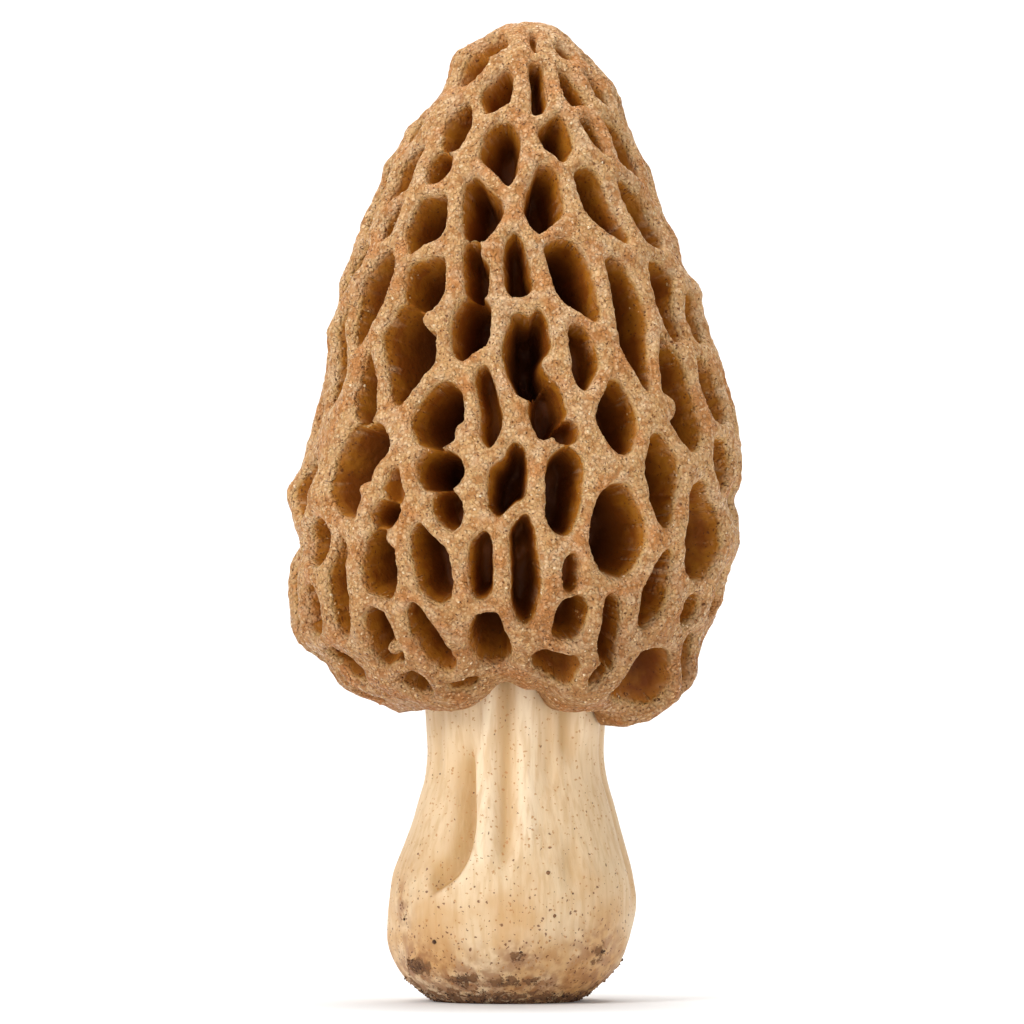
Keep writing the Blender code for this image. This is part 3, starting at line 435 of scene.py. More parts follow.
pitNet = {
    # sideways place, height, half width, half height, lean in degrees, share of the usual depth,
    # and how low the sill to the next pit is
    "frontPits": [
        (-4.7, 103.0, 1.4, 2.6, 48, 0.6, 1.0), (-2.4, 105.4, 1.4, 1.7, 62, 0.5, 0.0),
        (2.2, 105.4, 0.8, 1.8, 0, 0.5, 0.0), (5.9, 104.3, 1.0, 1.7, -40, 0.6, 0.0),
        (-2.3, 100.0, 1.9, 3.1, 10, 1.0, 0.0), (2.6, 100.6, 1.4, 3.7, 0, 1.0, 0.0),
        (6.4, 100.3, 1.4, 2.9, -15, 0.9, 0.0), (8.5, 100.9, 0.8, 3.0, -28, 0.7, 0.0),
        (-6.3, 96.1, 1.6, 3.1, 5, 0.8, 0.8), (-8.5, 91.4, 1.4, 2.2, 15, 0.7, 0.0),
        (-1.6, 93.1, 2.2, 3.9, -8, 1.0, 0.0), (4.8, 94.7, 1.8, 2.8, -12, 1.0, 0.0),
        (8.8, 95.6, 1.0, 2.6, -20, 0.9, 0.0), (11.8, 93.9, 1.1, 3.9, -25, 0.9, 0.0),
        (-10.7, 96.0, 0.9, 1.8, 35, 0.5, 0.0), (-12.3, 90.5, 1.1, 3.7, 15, 0.7, 0.0),
        (3.3, 88.0, 2.2, 4.2, 8, 1.0, 0.0), (-4.0, 87.1, 2.4, 4.0, 0, 1.0, 1.0),
        (-4.6, 80.6, 1.8, 3.5, -8, 1.0, 1.1), (-5.0, 74.0, 2.4, 3.4, 5, 1.0, 0.0),
        (9.8, 87.6, 1.7, 4.6, -25, 1.0, 0.0), (14.0, 86.4, 1.3, 4.2, -22, 0.9, 0.0),
        (-9.9, 85.6, 2.2, 3.7, 8, 0.9, 0.0), (-13.7, 86.2, 0.9, 2.6, 12, 0.8, 0.0),
        (0.4, 80.7, 1.9, 3.7, -8, 1.0, 0.0), (6.6, 79.6, 2.4, 5.1, -26, 1.1, 0.0),
        (-10.0, 78.8, 2.2, 3.6, 5, 0.9, 1.1), (-12.1, 71.6, 3.0, 5.6, 8, 1.0, 0.0),
        (-15.8, 77.4, 1.5, 5.3, 15, 0.9, 0.0), (-17.9, 80.2, 0.9, 3.3, 20, 0.8, 0.0),
        (-19.3, 71.1, 1.0, 5.3, 3, 0.9, 0.0), (-3.1, 65.5, 1.5, 4.7, -10, 0.9, 0.0),
        (-8.6, 64.5, 2.9, 3.5, 15, 1.1, 1.2), (-8.5, 58.4, 2.5, 2.2, 0, 1.1, 1.2),
        (-7.7, 54.0, 1.7, 2.2, 0, 1.0, 0.0), (1.4, 71.4, 2.7, 4.9, 0, 1.2, 1.5),
        (3.6, 65.0, 1.9, 3.3, 0, 1.1, 1.3), (5.6, 62.6, 1.5, 1.3, 0, 1.0, 1.0),
        (5.4, 56.4, 2.2, 4.6, 0, 1.1, 0.0), (7.5, 70.7, 1.7, 3.7, -5, 0.9, 0.0),
        (13.2, 74.4, 2.0, 7.2, -8, 0.9, 0.0), (16.9, 77.2, 1.5, 4.6, 0, 0.9, 0.9),
        (18.1, 67.4, 2.0, 6.6, -16, 1.0, 0.0), (19.5, 75.3, 1.1, 3.1, -12, 0.8, 0.0),
        (22.2, 66.6, 1.2, 4.2, -15, 0.9, 0.0), (-0.7, 57.1, 2.2, 4.1, 8, 1.1, 0.0),
        (0.8, 48.0, 1.9, 6.3, -5, 1.1, 0.0), (-3.5, 47.8, 1.7, 3.7, 4, 1.0, 0.0),
        (-2.7, 37.2, 2.2, 4.2, -3, 1.0, 0.0), (-9.6, 48.2, 2.0, 4.4, -19, 1.0, 1.0),
        (-9.3, 38.9, 1.45, 4.7, -12, 0.9, 0.0), (-13.3, 56.6, 1.4, 2.5, -10, 0.5, 0.9),
        (-14.6, 53.8, 2.0, 1.8, 0, 0.9, 1.0), (-15.3, 48.0, 2.1, 3.8, 0, 1.0, 0.0),
        (-16.3, 67.2, 1.3, 4.2, -8, 0.9, 1.0), (-17.4, 58.6, 2.7, 5.1, 10, 1.0, 0.0),
        (-14.5, 39.1, 1.5, 4.7, -4, 0.9, 0.0), (-11.4, 35.0, 1.4, 2.9, -22, 0.9, 0.0),
        (-19.7, 45.8, 1.2, 5.3, -5, 0.8, 0.0), (-22.3, 50.5, 1.2, 2.6, 0, 0.7, 0.0),
        (-22.9, 56.6, 1.2, 3.3, 0, 0.8, 0.0), (-22.2, 63.2, 0.8, 2.4, 0, 0.7, 0.0),
        (-22.6, 42.8, 1.0, 3.0, 0, 0.6, 0.0), (-19.2, 37.2, 1.0, 3.0, -25, 0.7, 0.0),
        (-5.7, 33.6, 1.8, 1.2, 10, 0.7, 0.0), (11.5, 64.2, 2.1, 3.9, -12, 1.0, 0.0),
        (16.5, 57.3, 1.8, 4.8, -9, 1.0, 0.0), (11.5, 51.8, 2.85, 4.9, 0, 1.1, 0.0),
        (6.3, 47.1, 1.2, 2.2, 0, 0.9, 0.8), (6.1, 41.8, 1.8, 2.7, 10, 1.0, 0.0),
        (10.6, 40.4, 1.25, 4.6, -7, 1.0, 0.9), (8.8, 35.9, 1.2, 1.8, 38, 0.7, 0.0),
        (4.7, 35.5, 3.0, 2.4, 0, 0.6, 0.0), (15.9, 45.5, 1.25, 4.3, 14, 1.0, 0.0),
        (21.0, 51.7, 2.1, 5.3, -3, 1.0, 0.0), (23.1, 59.5, 1.2, 3.6, 0, 0.9, 0.0),
        (19.5, 43.3, 1.0, 2.0, 15, 0.8, 0.0), (22.3, 45.0, 0.9, 2.6, 12, 0.8, 0.0),
        (14.1, 35.2, 2.6, 4.0, 28, 0.8, 0.0), (19.0, 38.3, 0.9, 3.1, 0, 0.7, 0.0),
    ],
    # lobes of the ridges that stand into these pits: sideways place, height, radius
    "frontLobes": [
        (-2.9, 82.2, 0.9), (1.5, 75.9, 0.6), (-8.9, 74.7, 1.3), (4.7, 70.0, 1.6), (16.8, 65.3, 1.5),
        (-5.8, 62.7, 0.9), (-15.9, 56.2, 0.9), (-13.9, 51.0, 0.95), (-13.3, 38.7, 0.8),
        (-6.4, 38.4, 0.9),
    ],
    "leastSlantShare": 0.45, "mostSine": 0.985,      # for pits near the cap's outline
    # the pits of the sides and the back are strewn where there is room
    "seed": 7, "backFromDegrees": 66, "backSpacing": 5.0, "backTries": 6000, "eveningRounds": 3,
    "squash": (1.0, 1.0, 1 / 1.7),   # heights count less, so that the pits come out tall
    "backHalfWidth": 2.3, "backHalfHeight": 4.0,
    "backSizes": (0.85, 1.15), "backLeans": (-14, 14), "backDepths": (0.85, 1.1),
    "backTop": 106.7, "backBottom": 33.5,
    "smallNearTip": [(107.0, 0.48), (102.0, 0.6), (95.0, 0.75), (80.0, 1.0), (34.0, 1.0)],
    "ridgeHalfWidth": 0.97, "crossRidgeHalfWidth": 0.8, "crossRidgeShare": (0.5, 0.9),
    "ridgeWave": 0.35, "ridgeWaveLength": 3.4, "ridgeSwell": 0.55, "ridgeSwellLength": 7.0,
    "rimRounding": 0.1, "cornerRounding": 0.7, "pitReach": 1.1, "backPitReach": 1.3,
    "depthPerWidth": 2.9, "depthRange": (2.0, 7.5), "depthPerRadius": 0.42, "floorShare": 0.6,
    "floorBlend": 0.12, "floorWave": 0.14, "floorWaveLength": 2.6, "neighbours": 6,
    # fine relief: beads along the edges and over the tops of the ridges, folds in the pit walls
    "bead": 0.13, "beadLength": 0.75, "lump": 0.14, "lumpLength": 1.4,
    "grain": 0.1, "grainLength": 0.75, "fold": 0.22, "foldLength": 1.7, "foldStretch": (1.0, 1.0, 2.2),
    # how the tops of the ridges round off towards the pits
    "rollDepth": 0.45, "rollWidth": 0.34, "wallPower": 2.6,
    "crestDepth": (0.5, 1.5),
}


def rimLift(angle, height, top):
    # the lobes of the lower edge lift what is below the top
    lift = np.zeros(len(angle))
    for degrees, size, spread in capForm["rimLobes"]:
        away = np.degrees(turnBetween(angle, math.radians(degrees))) / spread
        lift += size * np.exp(-away ** 2)
    return lift * (1 - rise(capForm["outline"][-1][1], top, height))


def bendCap(points):
    # leans the round cap, thins it front to back and lifts the lobes of its lower edge
    x, y, z = points.T
    angle = np.arctan2(x, -y)
    lift = rimLift(angle, z, capForm["rimLiftTop"])
    swell = np.zeros(len(points))
    for side, height, size, spread in capForm["sideSwells"]:
        facing = np.clip(side * np.sin(angle), 0.0, 1.0) ** 2
        swell += side * size * facing * np.exp(-((z - height) / spread) ** 2)
    x = x + through(capForm["lean"], z) + swell
    return np.column_stack((x, capForm["depthShare"] * y, z + lift))


def outlineRadius(height, outline):
    return np.interp(-height, -outline[:, 1], outline[:, 0])


def capPlaces(angle, height, outline):
    radius = outlineRadius(height, outline)
    return bendCap(np.column_stack((radius * np.sin(angle), -radius * np.cos(angle), height)))


def pitAt(angle, height, outline, halfWidth, halfHeight, lean, share, sill, reach):
    # where a pit lies and which way it faces, from four places close round its middle
    close = 0.02
    angles = angle + close * np.array([0, 1, -1, 0, 0])
    heights = height + close * np.array([0, 0, 0, 1, -1])
    middle, right, left, above, below = capPlaces(angles, heights, outline)
    around, upward = right - left, above - below
    around /= np.linalg.norm(around)
    upward /= np.linalg.norm(upward)
    outward = np.cross(around, upward)
    outward /= np.linalg.norm(outward)
    upward = np.cross(outward, around)
    turn = math.radians(lean)
    depth = float(np.clip(pitNet["depthPerWidth"] * halfWidth, *pitNet["depthRange"])) * share
    return {
        "middle": middle, "outward": outward,
        "across": around * math.cos(turn) - upward * math.sin(turn),
        "tall": around * math.sin(turn) + upward * math.cos(turn),
        "width": halfWidth, "height": halfHeight, "sill": sill, "reach": reach,
        "depth": min(depth, pitNet["depthPerRadius"] * outlineRadius(height, outline)),
    }


def frontAngle(place, height, outline):
    sine = (place - through(capForm["lean"], height)) / outlineRadius(height, outline)
    return math.asin(np.clip(sine, -pitNet["mostSine"], pitNet["mostSine"]))


def frontLobes(outline):
    lobes = []
    for place, height, radius in pitNet["frontLobes"]:
        angle = np.array([frontAngle(place, height, outline)])
        lobes.append((capPlaces(angle, np.array([height]), outline)[0], radius))
    return lobes


def frontPits(outline):
    pits = []
    for place, height, halfWidth, halfHeight, lean, share, sill in pitNet["frontPits"]:
        angle = frontAngle(place, height, outline)
        width = halfWidth / max(math.cos(angle), pitNet["leastSlantShare"])
        pits.append(pitAt(angle, height, outline, width, halfHeight, lean, share, sill,
                          pitNet["pitReach"]))
    return pits


def backPits(outline, front):
    # each pit goes where there is the most room, then they are evened out
    draw = np.random.default_rng(pitNet["seed"])
    start = pitNet["backFromDegrees"]
    squash = np.array(pitNet["squash"])
    angle = np.radians(draw.uniform(start, 360 - start, pitNet["backTries"]))
    height = draw.uniform(pitNet["backBottom"], pitNet["backTop"], pitNet["backTries"])
    tried = capPlaces(angle, height, outline) * squash
    small = through(pitNet["smallNearTip"], height)
    fixed = np.array([pit["middle"] for pit in front]) * squash
    room = np.linalg.norm(tried[:, None] - fixed, axis=2).min(axis=1) / small
    chosen = []
    while room.max() > pitNet["backSpacing"]:
        chosen.append(tried[room.argmax()])
        room = np.minimum(room, np.linalg.norm(tried - chosen[-1], axis=1) / small)
    for _ in range(pitNet["eveningRounds"]):
        middles = np.vstack((chosen, fixed))
        owner = np.linalg.norm(tried[:, None] - middles, axis=2).argmin(axis=1)
        chosen = [tried[owner == number].mean(axis=0) if np.any(owner == number) else chosen[number]
                  for number in range(len(chosen))]
    pits = []
    for spot in chosen:
        x, y, z = spot / squash
        spotAngle = math.atan2(x - through(capForm["lean"], z), -y / capForm["depthShare"])
        size = float(through(pitNet["smallNearTip"], z))
        halfWidth = pitNet["backHalfWidth"] * size * draw.uniform(*pitNet["backSizes"])
        halfHeight = pitNet["backHalfHeight"] * size * draw.uniform(*pitNet["backSizes"])
        lean = draw.uniform(*pitNet["backLeans"])
        share = draw.uniform(*pitNet["backDepths"])
        pits.append(pitAt(spotAngle, z, outline, halfWidth, halfHeight, lean, share, 0.0,
                          pitNet["backPitReach"]))
    return pits


def pitDepth(points, pits, lobes):
    # how deep the pits sink each point of the cap's outer form
    middle, across, tall, outward = (
        np.array([pit[name] for pit in pits]) for name in ("middle", "across", "tall", "outward"))
    width, height, depth, sill, reach = (
        np.array([pit[name] for pit in pits]) for name in ("width", "height", "depth", "sill", "reach"))
    thick = (width + height) / 2
    u = points @ across.T - np.einsum("ij,ij->i", middle, across)
    v = points @ tall.T - np.einsum("ij,ij->i", middle, tall)
    w = points @ outward.T - np.einsum("ij,ij->i", middle, outward)
    size = np.sqrt((u / width) ** 2 + (v / height) ** 2 + (w / thick) ** 2) + tiny
    nearest = np.argpartition(size, pitNet["neighbours"], axis=1)[:, :pitNet["neighbours"]]
    row = np.arange(len(points))[:, None]
    nearest = nearest[row, np.argsort(size[row, nearest], axis=1)]
    near = size[row, nearest]
    slope = ((u / width ** 2)[row, nearest][..., None] * across[nearest]
             + (v / height ** 2)[row, nearest][..., None] * tall[nearest]
             + (w / thick ** 2)[row, nearest][..., None] * outward[nearest]) / near[..., None]
    own = nearest[:, 0]
    inside = (reach[own] - near[:, 0]) / np.linalg.norm(slope[:, 0], axis=1)
    for other in range(1, pitNet["neighbours"]):
        them = nearest[:, other]
        steep = np.linalg.norm(slope[:, other] - slope[:, 0], axis=1) + tiny
        link = middle[them] - middle[own]
        upright = np.abs(link[:, 2]) / np.linalg.norm(link, axis=1)
        cross = rise(*pitNet["crossRidgeShare"], upright)
        half = pitNet["ridgeHalfWidth"]
        half = half + (pitNet["crossRidgeHalfWidth"] - half) * cross
        low = np.where(them == own + 1, sill[own], 0.0) + np.where(own == them + 1, sill[them], 0.0)
        beyond = (near[:, other] - near[:, 0]) / steep - half + low
        inside = smaller(inside, beyond, pitNet["cornerRounding"])
    for lobe, radius in lobes:
        beyond = np.linalg.norm(points - lobe, axis=1) - radius
        inside = smaller(inside, beyond, pitNet["cornerRounding"])
    inside += pitNet["ridgeWave"] * wave(points, pitNet["ridgeWaveLength"], "edge")
    inside += pitNet["bead"] * wave(points, pitNet["beadLength"], "bead")
    roll = pitNet["rollDepth"] * np.exp(np.minimum(inside, 0.0) / pitNet["rollWidth"])
    inside = 0.5 * (inside + np.sqrt(inside ** 2 + pitNet["rimRounding"] ** 2))
    mix = 0.5 * np.exp(-(near[:, 1] - near[:, 0]) / pitNet["floorBlend"])
    full = depth[own] + (depth[nearest[:, 1]] - depth[own]) * mix
    full *= 1 + pitNet["floorWave"] * wave(points, pitNet["floorWaveLength"], "floor")
    reachable = width[own] + (width[nearest[:, 1]] - width[own]) * mix
    share = np.clip(inside / (pitNet["floorShare"] * reachable), 0.0, 1.0)
    return full * (1 - (1 - share) ** pitNet["wallPower"]) + roll


def buildCap(look):
    placing = along(capForm["outline"], capForm["placingStep"])
    outline = along(capForm["outline"], capForm["stepDown"])
    wall = [(capForm["recessRadius"], height) for height in capForm["recessWall"]]
    roof = [(radius, capForm["recessTop"]) for radius in capForm["recessRoof"]]
    bm = turnedMesh([tuple(point) for point in outline] + wall + roof, capForm["stepsRound"])
    points = placesOf(bm)
    x, y, height = points.T
    angle, radius = np.arctan2(x, -y), np.hypot(x, y)
    slack = capForm["recessSlack"]
    recess = (radius < capForm["recessRadius"] + slack) & (height < capForm["recessTop"] + slack)
    skin = np.where(recess, 0.0, 1.0)
    normals = np.array([vert.normal for vert in bm.verts])
    print("cap turned:", len(points), "points")

    bent = bendCap(points)
    lifted = height + rimLift(angle, height, capForm["recessTop"])
    room = (stemRadius(angle, lifted) + capForm["recessRoom"]) * radius / capForm["recessRadius"]
    bent[recess] = stemPoints(angle, room, lifted)[recess]
    front = frontPits(placing)
    pits = front + backPits(placing, front)
    lobes = frontLobes(placing)
    batch = 20000    # points worked on at a time, to save memory
    starts = range(0, len(bent), batch)
    depth = np.concatenate([pitDepth(bent[i:i + batch], pits, lobes) for i in starts])
    shallow = np.where(height < capForm["rimLiftTop"], rise(*capForm["rimFade"], radius), 1.0)
    sunk = depth * shallow
    crest = 1 - rise(*pitNet["crestDepth"], sunk)
    swell = pitNet["ridgeSwell"] * wave(bent, pitNet["ridgeSwellLength"], "swell")
    tops = pitNet["grain"] * wave(bent, pitNet["grainLength"], "grain")
    tops += pitNet["lump"] * wave(bent, pitNet["lumpLength"], "bead")
    folds = pitNet["fold"] * wave(bent, pitNet["foldLength"], "fold", pitNet["foldStretch"])
    relief = tops * crest + folds * (1 - crest)
    moveTo(bm, bent - normals * ((sunk - swell - relief) * skin)[:, None], "cap")
    print("cap dug:", len(pits), "pits")

    values = {"sunk": sunk, "crest": crest * skin}
    piece = finishMesh("fine_cap", bm, look, values, capForm["triangles"])
    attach(piece, "root")
    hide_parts("cap")
    print("cap:", len(piece.data.polygons), "faces")
    return piece


grainForm = {
    "count": 9600, "tries": 90000, "seed": 11, "crestPower": 2.0, "sunkShare": 0.3,
    "cell": 0.36,      # no two grains start in the same cube of this size
    "radii": (0.09, 0.22), "long": (1.0, 1.5), "wide": (0.75, 1.0), "thick": (0.5, 0.8),
    "darkShare": 0.22, "dark": (1.6, 0.5, 0.42),   # thin dark slivers among the grains
}


def strewGrains(cap, look):
    # small glassy grains, partly sunk into the tops of the ridges
    mesh = cap.data
    mesh.calc_loop_triangles()
    corners = numbersOf(mesh.loop_triangles, "vertices", 3, np.int32)
    places = numbersOf(mesh.vertices, "co", 3) / mm
    normals = numbersOf(mesh.vertex_normals, "vector", 3)
    crest = numbersOf(mesh.attributes["crest"].data, "value")
    a, b, c = places[corners].transpose(1, 0, 2)
    area = np.linalg.norm(np.cross(b - a, c - a), axis=1)
    chance = area * crest[corners].mean(axis=1) ** grainForm["crestPower"]

    draw = np.random.default_rng(grainForm["seed"])
    pick = draw.choice(len(corners), grainForm["tries"], p=chance / chance.sum())
    mix = draw.dirichlet((1, 1, 1), grainForm["tries"])
    spots = np.einsum("ij,ijk->ik", mix, places[corners[pick]])
    outward = np.einsum("ij,ijk->ik", mix, normals[corners[pick]])
    cells = np.floor(spots / grainForm["cell"]).astype(int)
    single = draw.permutation(np.unique(cells, axis=0, return_index=True)[1])[:grainForm["count"]]
    spots, outward = spots[single], outward[single]
    count = len(single)

    bm = bmesh.new()
    bmesh.ops.create_icosphere(bm, subdivisions=1, radius=1.0)
    piece = finishMesh("cap_grains", bm, look)
    repeat = piece.modifiers.new("Repeat", "ARRAY")
    repeat.count = count
    repeat.use_relative_offset = False
    bakeModifiers(piece)
    ball = numbersOf(piece.data.vertices, "co", 3).reshape(count, -1, 3)
    shade = draw.random(count)
    radius = draw.uniform(*grainForm["radii"], count)
    sides = ("long", "wide", "thick")
    shape = np.column_stack([draw.uniform(*grainForm[side], count) for side in sides])
    shape[shade < grainForm["darkShare"]] = grainForm["dark"]
    outward /= np.linalg.norm(outward, axis=1)[:, None]
    lying = np.cross(outward, draw.normal(size=(count, 3)))
    lying /= np.linalg.norm(lying, axis=1)[:, None]
    turns = np.stack((lying, np.cross(outward, lying), outward), axis=2)
    ball = np.einsum("nij,nkj->nki", turns, ball * (shape * radius[:, None])[:, None])
    middle = spots - outward * (radius * grainForm["sunkShare"])[:, None]
    moved = insideBox((ball + middle[:, None]).reshape(-1, 3) * mm, "cap")
    piece.data.vertices.foreach_set("co", moved.astype(np.float32).ravel())
    tone = piece.data.attributes.new("tone", "FLOAT", "POINT")
    tone.data.foreach_set("value", np.repeat(shade, len(moved) // count).astype(np.float32))
    piece.data.update()
    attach(piece, "root")
    print("grains:", count)


# Shader groups that the materials share, and short ways to join nodes

def newGroup(name, inputs, outputs):
    group = bpy.data.node_groups.new(name, "ShaderNodeTree")
    for label, kind, value in inputs:
        socket = group.interface.new_socket(label, in_out="INPUT", socket_type=kind)
        if value is not None:
            socket.default_value = value
    for label, kind in outputs:
        group.interface.new_socket(label, in_out="OUTPUT", socket_type=kind)
    return group, group.nodes.new("NodeGroupInput"), group.nodes.new("NodeGroupOutput")


def addNode(tree, kind, **settings):
    node = tree.nodes.new(kind)
    for name, value in settings.items():
        setattr(node, name, value)
    return node


def mathNode(tree, operation, first, second, clamp=False):
    node = addNode(tree, "ShaderNodeMath", operation=operation, use_clamp=clamp)
    for socket, value in zip(node.inputs, (first, second)):
        if isinstance(value, (int, float)):
            socket.default_value = value
        else:
            tree.links.new(value, socket)
    return node.outputs[0]


def rangeNode(tree, value, low, high, toLow=0.0, toHigh=1.0):
    node = addNode(tree, "ShaderNodeMapRange", interpolation_type="SMOOTHSTEP")
    tree.links.new(value, node.inputs["Value"])
    for name, limit in (("From Min", low), ("From Max", high), ("To Min", toLow), ("To Max", toHigh)):
        if isinstance(limit, (int, float)):
            node.inputs[name].default_value = limit
        else:
            tree.links.new(limit, node.inputs[name])
    return node.outputs["Result"]


def mixColour(tree, factor, first, second, blend="MIX"):
    node = addNode(tree, "ShaderNodeMix", data_type="RGBA", blend_type=blend)
    for socket, value in ((node.inputs[0], factor), (node.inputs[6], first), (node.inputs[7], second)):
        if isinstance(value, (int, float)):
            socket.default_value = value
        elif isinstance(value, tuple):
            socket.default_value = (*value, 1.0)
        else:
            tree.links.new(value, socket)
    return node.outputs[2]


def ruffle(group, vector, scale, strength):
    # shifts a vector by noise, so that what is drawn with it gets a ragged outline
    cloud = addNode(group, "ShaderNodeTexNoise")
    group.links.new(vector, cloud.inputs["Vector"])
    cloud.inputs["Scale"].default_value = scale
    middle = addNode(group, "ShaderNodeVectorMath", operation="SUBTRACT")
    group.links.new(cloud.outputs["Color"], middle.inputs[0])
    middle.inputs[1].default_value = (0.5, 0.5, 0.5)
    shift = addNode(group, "ShaderNodeVectorMath", operation="SCALE")
    group.links.new(middle.outputs["Vector"], shift.inputs[0])
    shift.inputs["Scale"].default_value = strength
    moved = addNode(group, "ShaderNodeVectorMath", operation="ADD")
    group.links.new(vector, moved.inputs[0])
    group.links.new(shift.outputs["Vector"], moved.inputs[1])
    return moved.outputs["Vector"]


patternForm = {
    # scale and size of the noise that makes outlines ragged
    "grainRagged": (1.6, 0.35), "speckRagged": (2.4, 0.6),
    "grainEdge": (0.25, 0.75), "speckCore": 0.7, "blotchDetail": 3.0,
}


def grainGroup():
    # close-set grains: how near to a grain's middle, and a shade of its own
    group, start, end = newGroup("grains", [
        ("Vector", "NodeSocketVector", None), ("Scale", "NodeSocketFloat", 1.0),
    ], [("Mask", "NodeSocketFloat"), ("Shade", "NodeSocketFloat")])
    cells = addNode(group, "ShaderNodeTexVoronoi", feature="F1")
    ragged = ruffle(group, start.outputs["Vector"], *patternForm["grainRagged"])
    group.links.new(ragged, cells.inputs["Vector"])
    group.links.new(start.outputs["Scale"], cells.inputs["Scale"])
    mask = rangeNode(group, cells.outputs["Distance"], *patternForm["grainEdge"], 1.0, 0.0)
    group.links.new(mask, end.inputs["Mask"])
    pick = addNode(group, "ShaderNodeSeparateColor")
    group.links.new(cells.outputs["Color"], pick.inputs["Color"])
    group.links.new(pick.outputs["Red"], end.inputs["Shade"])
    return group


def speckGroup():
    # ragged specks, some cells left empty
    group, start, end = newGroup("specks", [
        ("Vector", "NodeSocketVector", None), ("Scale", "NodeSocketFloat", 1.0),
        ("Radius", "NodeSocketFloat", 0.3), ("Amount", "NodeSocketFloat", 0.5),
    ], [("Mask", "NodeSocketFloat")])
    cells = addNode(group, "ShaderNodeTexVoronoi", feature="F1")
    ragged = ruffle(group, start.outputs["Vector"], *patternForm["speckRagged"])
    group.links.new(ragged, cells.inputs["Vector"])
    group.links.new(start.outputs["Scale"], cells.inputs["Scale"])
    pick = addNode(group, "ShaderNodeSeparateColor")
    group.links.new(cells.outputs["Color"], pick.inputs["Color"])
    own = mathNode(group, "MULTIPLY", start.outputs["Radius"], pick.outputs["Green"])
    core = mathNode(group, "MULTIPLY", own, patternForm["speckCore"])
    dot = rangeNode(group, cells.outputs["Distance"], core, own, 1.0, 0.0)
    shown = mathNode(group, "LESS_THAN", pick.outputs["Red"], start.outputs["Amount"])
    group.links.new(mathNode(group, "MULTIPLY", dot, shown), end.inputs["Mask"])
    return group


def blotchGroup():
    # soft patches from noise, between two limits
    group, start, end = newGroup("blotches", [
        ("Vector", "NodeSocketVector", None), ("Scale", "NodeSocketFloat", 1.0),
        ("Low", "NodeSocketFloat", 0.4), ("High", "NodeSocketFloat", 0.6),
    ], [("Mask", "NodeSocketFloat")])
    cloud = addNode(group, "ShaderNodeTexNoise")
    cloud.inputs["Detail"].default_value = patternForm["blotchDetail"]
    group.links.new(start.outputs["Vector"], cloud.inputs["Vector"])
    group.links.new(start.outputs["Scale"], cloud.inputs["Scale"])
    mask = rangeNode(group, cloud.outputs["Fac"], start.outputs["Low"], start.outputs["High"])
    group.links.new(mask, end.inputs["Mask"])
    return group


def useGroup(tree, group, vector, output="Mask", **values):
    node = addNode(tree, "ShaderNodeGroup", node_tree=group)
    tree.links.new(vector, node.inputs["Vector"])
    for name, value in values.items():
        if isinstance(value, (int, float)):
            node.inputs[name].default_value = value
        else:
            tree.links.new(value, node.inputs[name])
    return node.outputs[output]


def newMaterial(name):
    # also gives the place on the object in millimetres, for the patterns
    look = bpy.data.materials.new(name)
    look.use_nodes = True
    tree = look.node_tree
    shader = tree.nodes["Principled BSDF"]
    place = addNode(tree, "ShaderNodeTexCoord")
    inMm = addNode(tree, "ShaderNodeVectorMath", operation="SCALE")
    tree.links.new(place.outputs["Object"], inMm.inputs[0])
    inMm.inputs["Scale"].default_value = 1 / mm
    return look, tree, shader, inMm.outputs["Vector"]


def attributeNode(tree, name):
    return addNode(tree, "ShaderNodeAttribute", attribute_name=name).outputs["Fac"]


def rampNode(tree, value, stops):
    node = addNode(tree, "ShaderNodeValToRGB")
    ramp = node.color_ramp
    while len(ramp.elements) < len(stops):
        ramp.elements.new(0.5)
    for element, (at, colour) in zip(ramp.elements, stops):
        element.position = at
        element.color = (*colour, 1.0)
    tree.links.new(value, node.inputs["Fac"])
    return node.outputs["Color"]


def bumpNode(tree, height, distance, before=None):
    node = addNode(tree, "ShaderNodeBump")
    node.inputs["Distance"].default_value = distance
    tree.links.new(height, node.inputs["Height"])
    if before is not None:
        tree.links.new(before, node.inputs["Normal"])
    return node.outputs["Normal"]


# Looks

def product(tree, first, *others):
    for other in others:
        first = mathNode(tree, "MULTIPLY", first, other)
    return first


def inverse(tree, value):
    return mathNode(tree, "SUBTRACT", 1.0, value)


def patchMask(tree, blotches, place, patch):
    low, high = patch["limits"]
    return useGroup(tree, blotches, place, Scale=patch["scale"], Low=low, High=high)


def speckMask(tree, specks, place, speck, amount=None):
    return useGroup(tree, specks, place, Scale=speck["scale"], Radius=speck["radius"],
                    Amount=speck["amount"] if amount is None else amount)


def tint(tree, colour, over, *masks):
    # lays another colour over the one so far, where all the masks are
    return mixColour(tree, product(tree, *masks, over["share"]), colour, over["colour"])


def noiseNode(tree, vector, scale, detail, roughness=0.5):
    node = addNode(tree, "ShaderNodeTexNoise")
    node.inputs["Scale"].default_value = scale
    node.inputs["Detail"].default_value = detail
    node.inputs["Roughness"].default_value = roughness
    tree.links.new(vector, node.inputs["Vector"])
    return node.outputs["Fac"]


def setFlesh(shader, flesh):
    # gloss, and how the light spreads under the skin
    shader.inputs["Specular IOR Level"].default_value = flesh["gloss"]
    shader.inputs["Subsurface Weight"].default_value = flesh["glow"]
    shader.inputs["Subsurface Radius"].default_value = flesh["glowColours"]
    shader.inputs["Subsurface Scale"].default_value = flesh["glowDepth"]


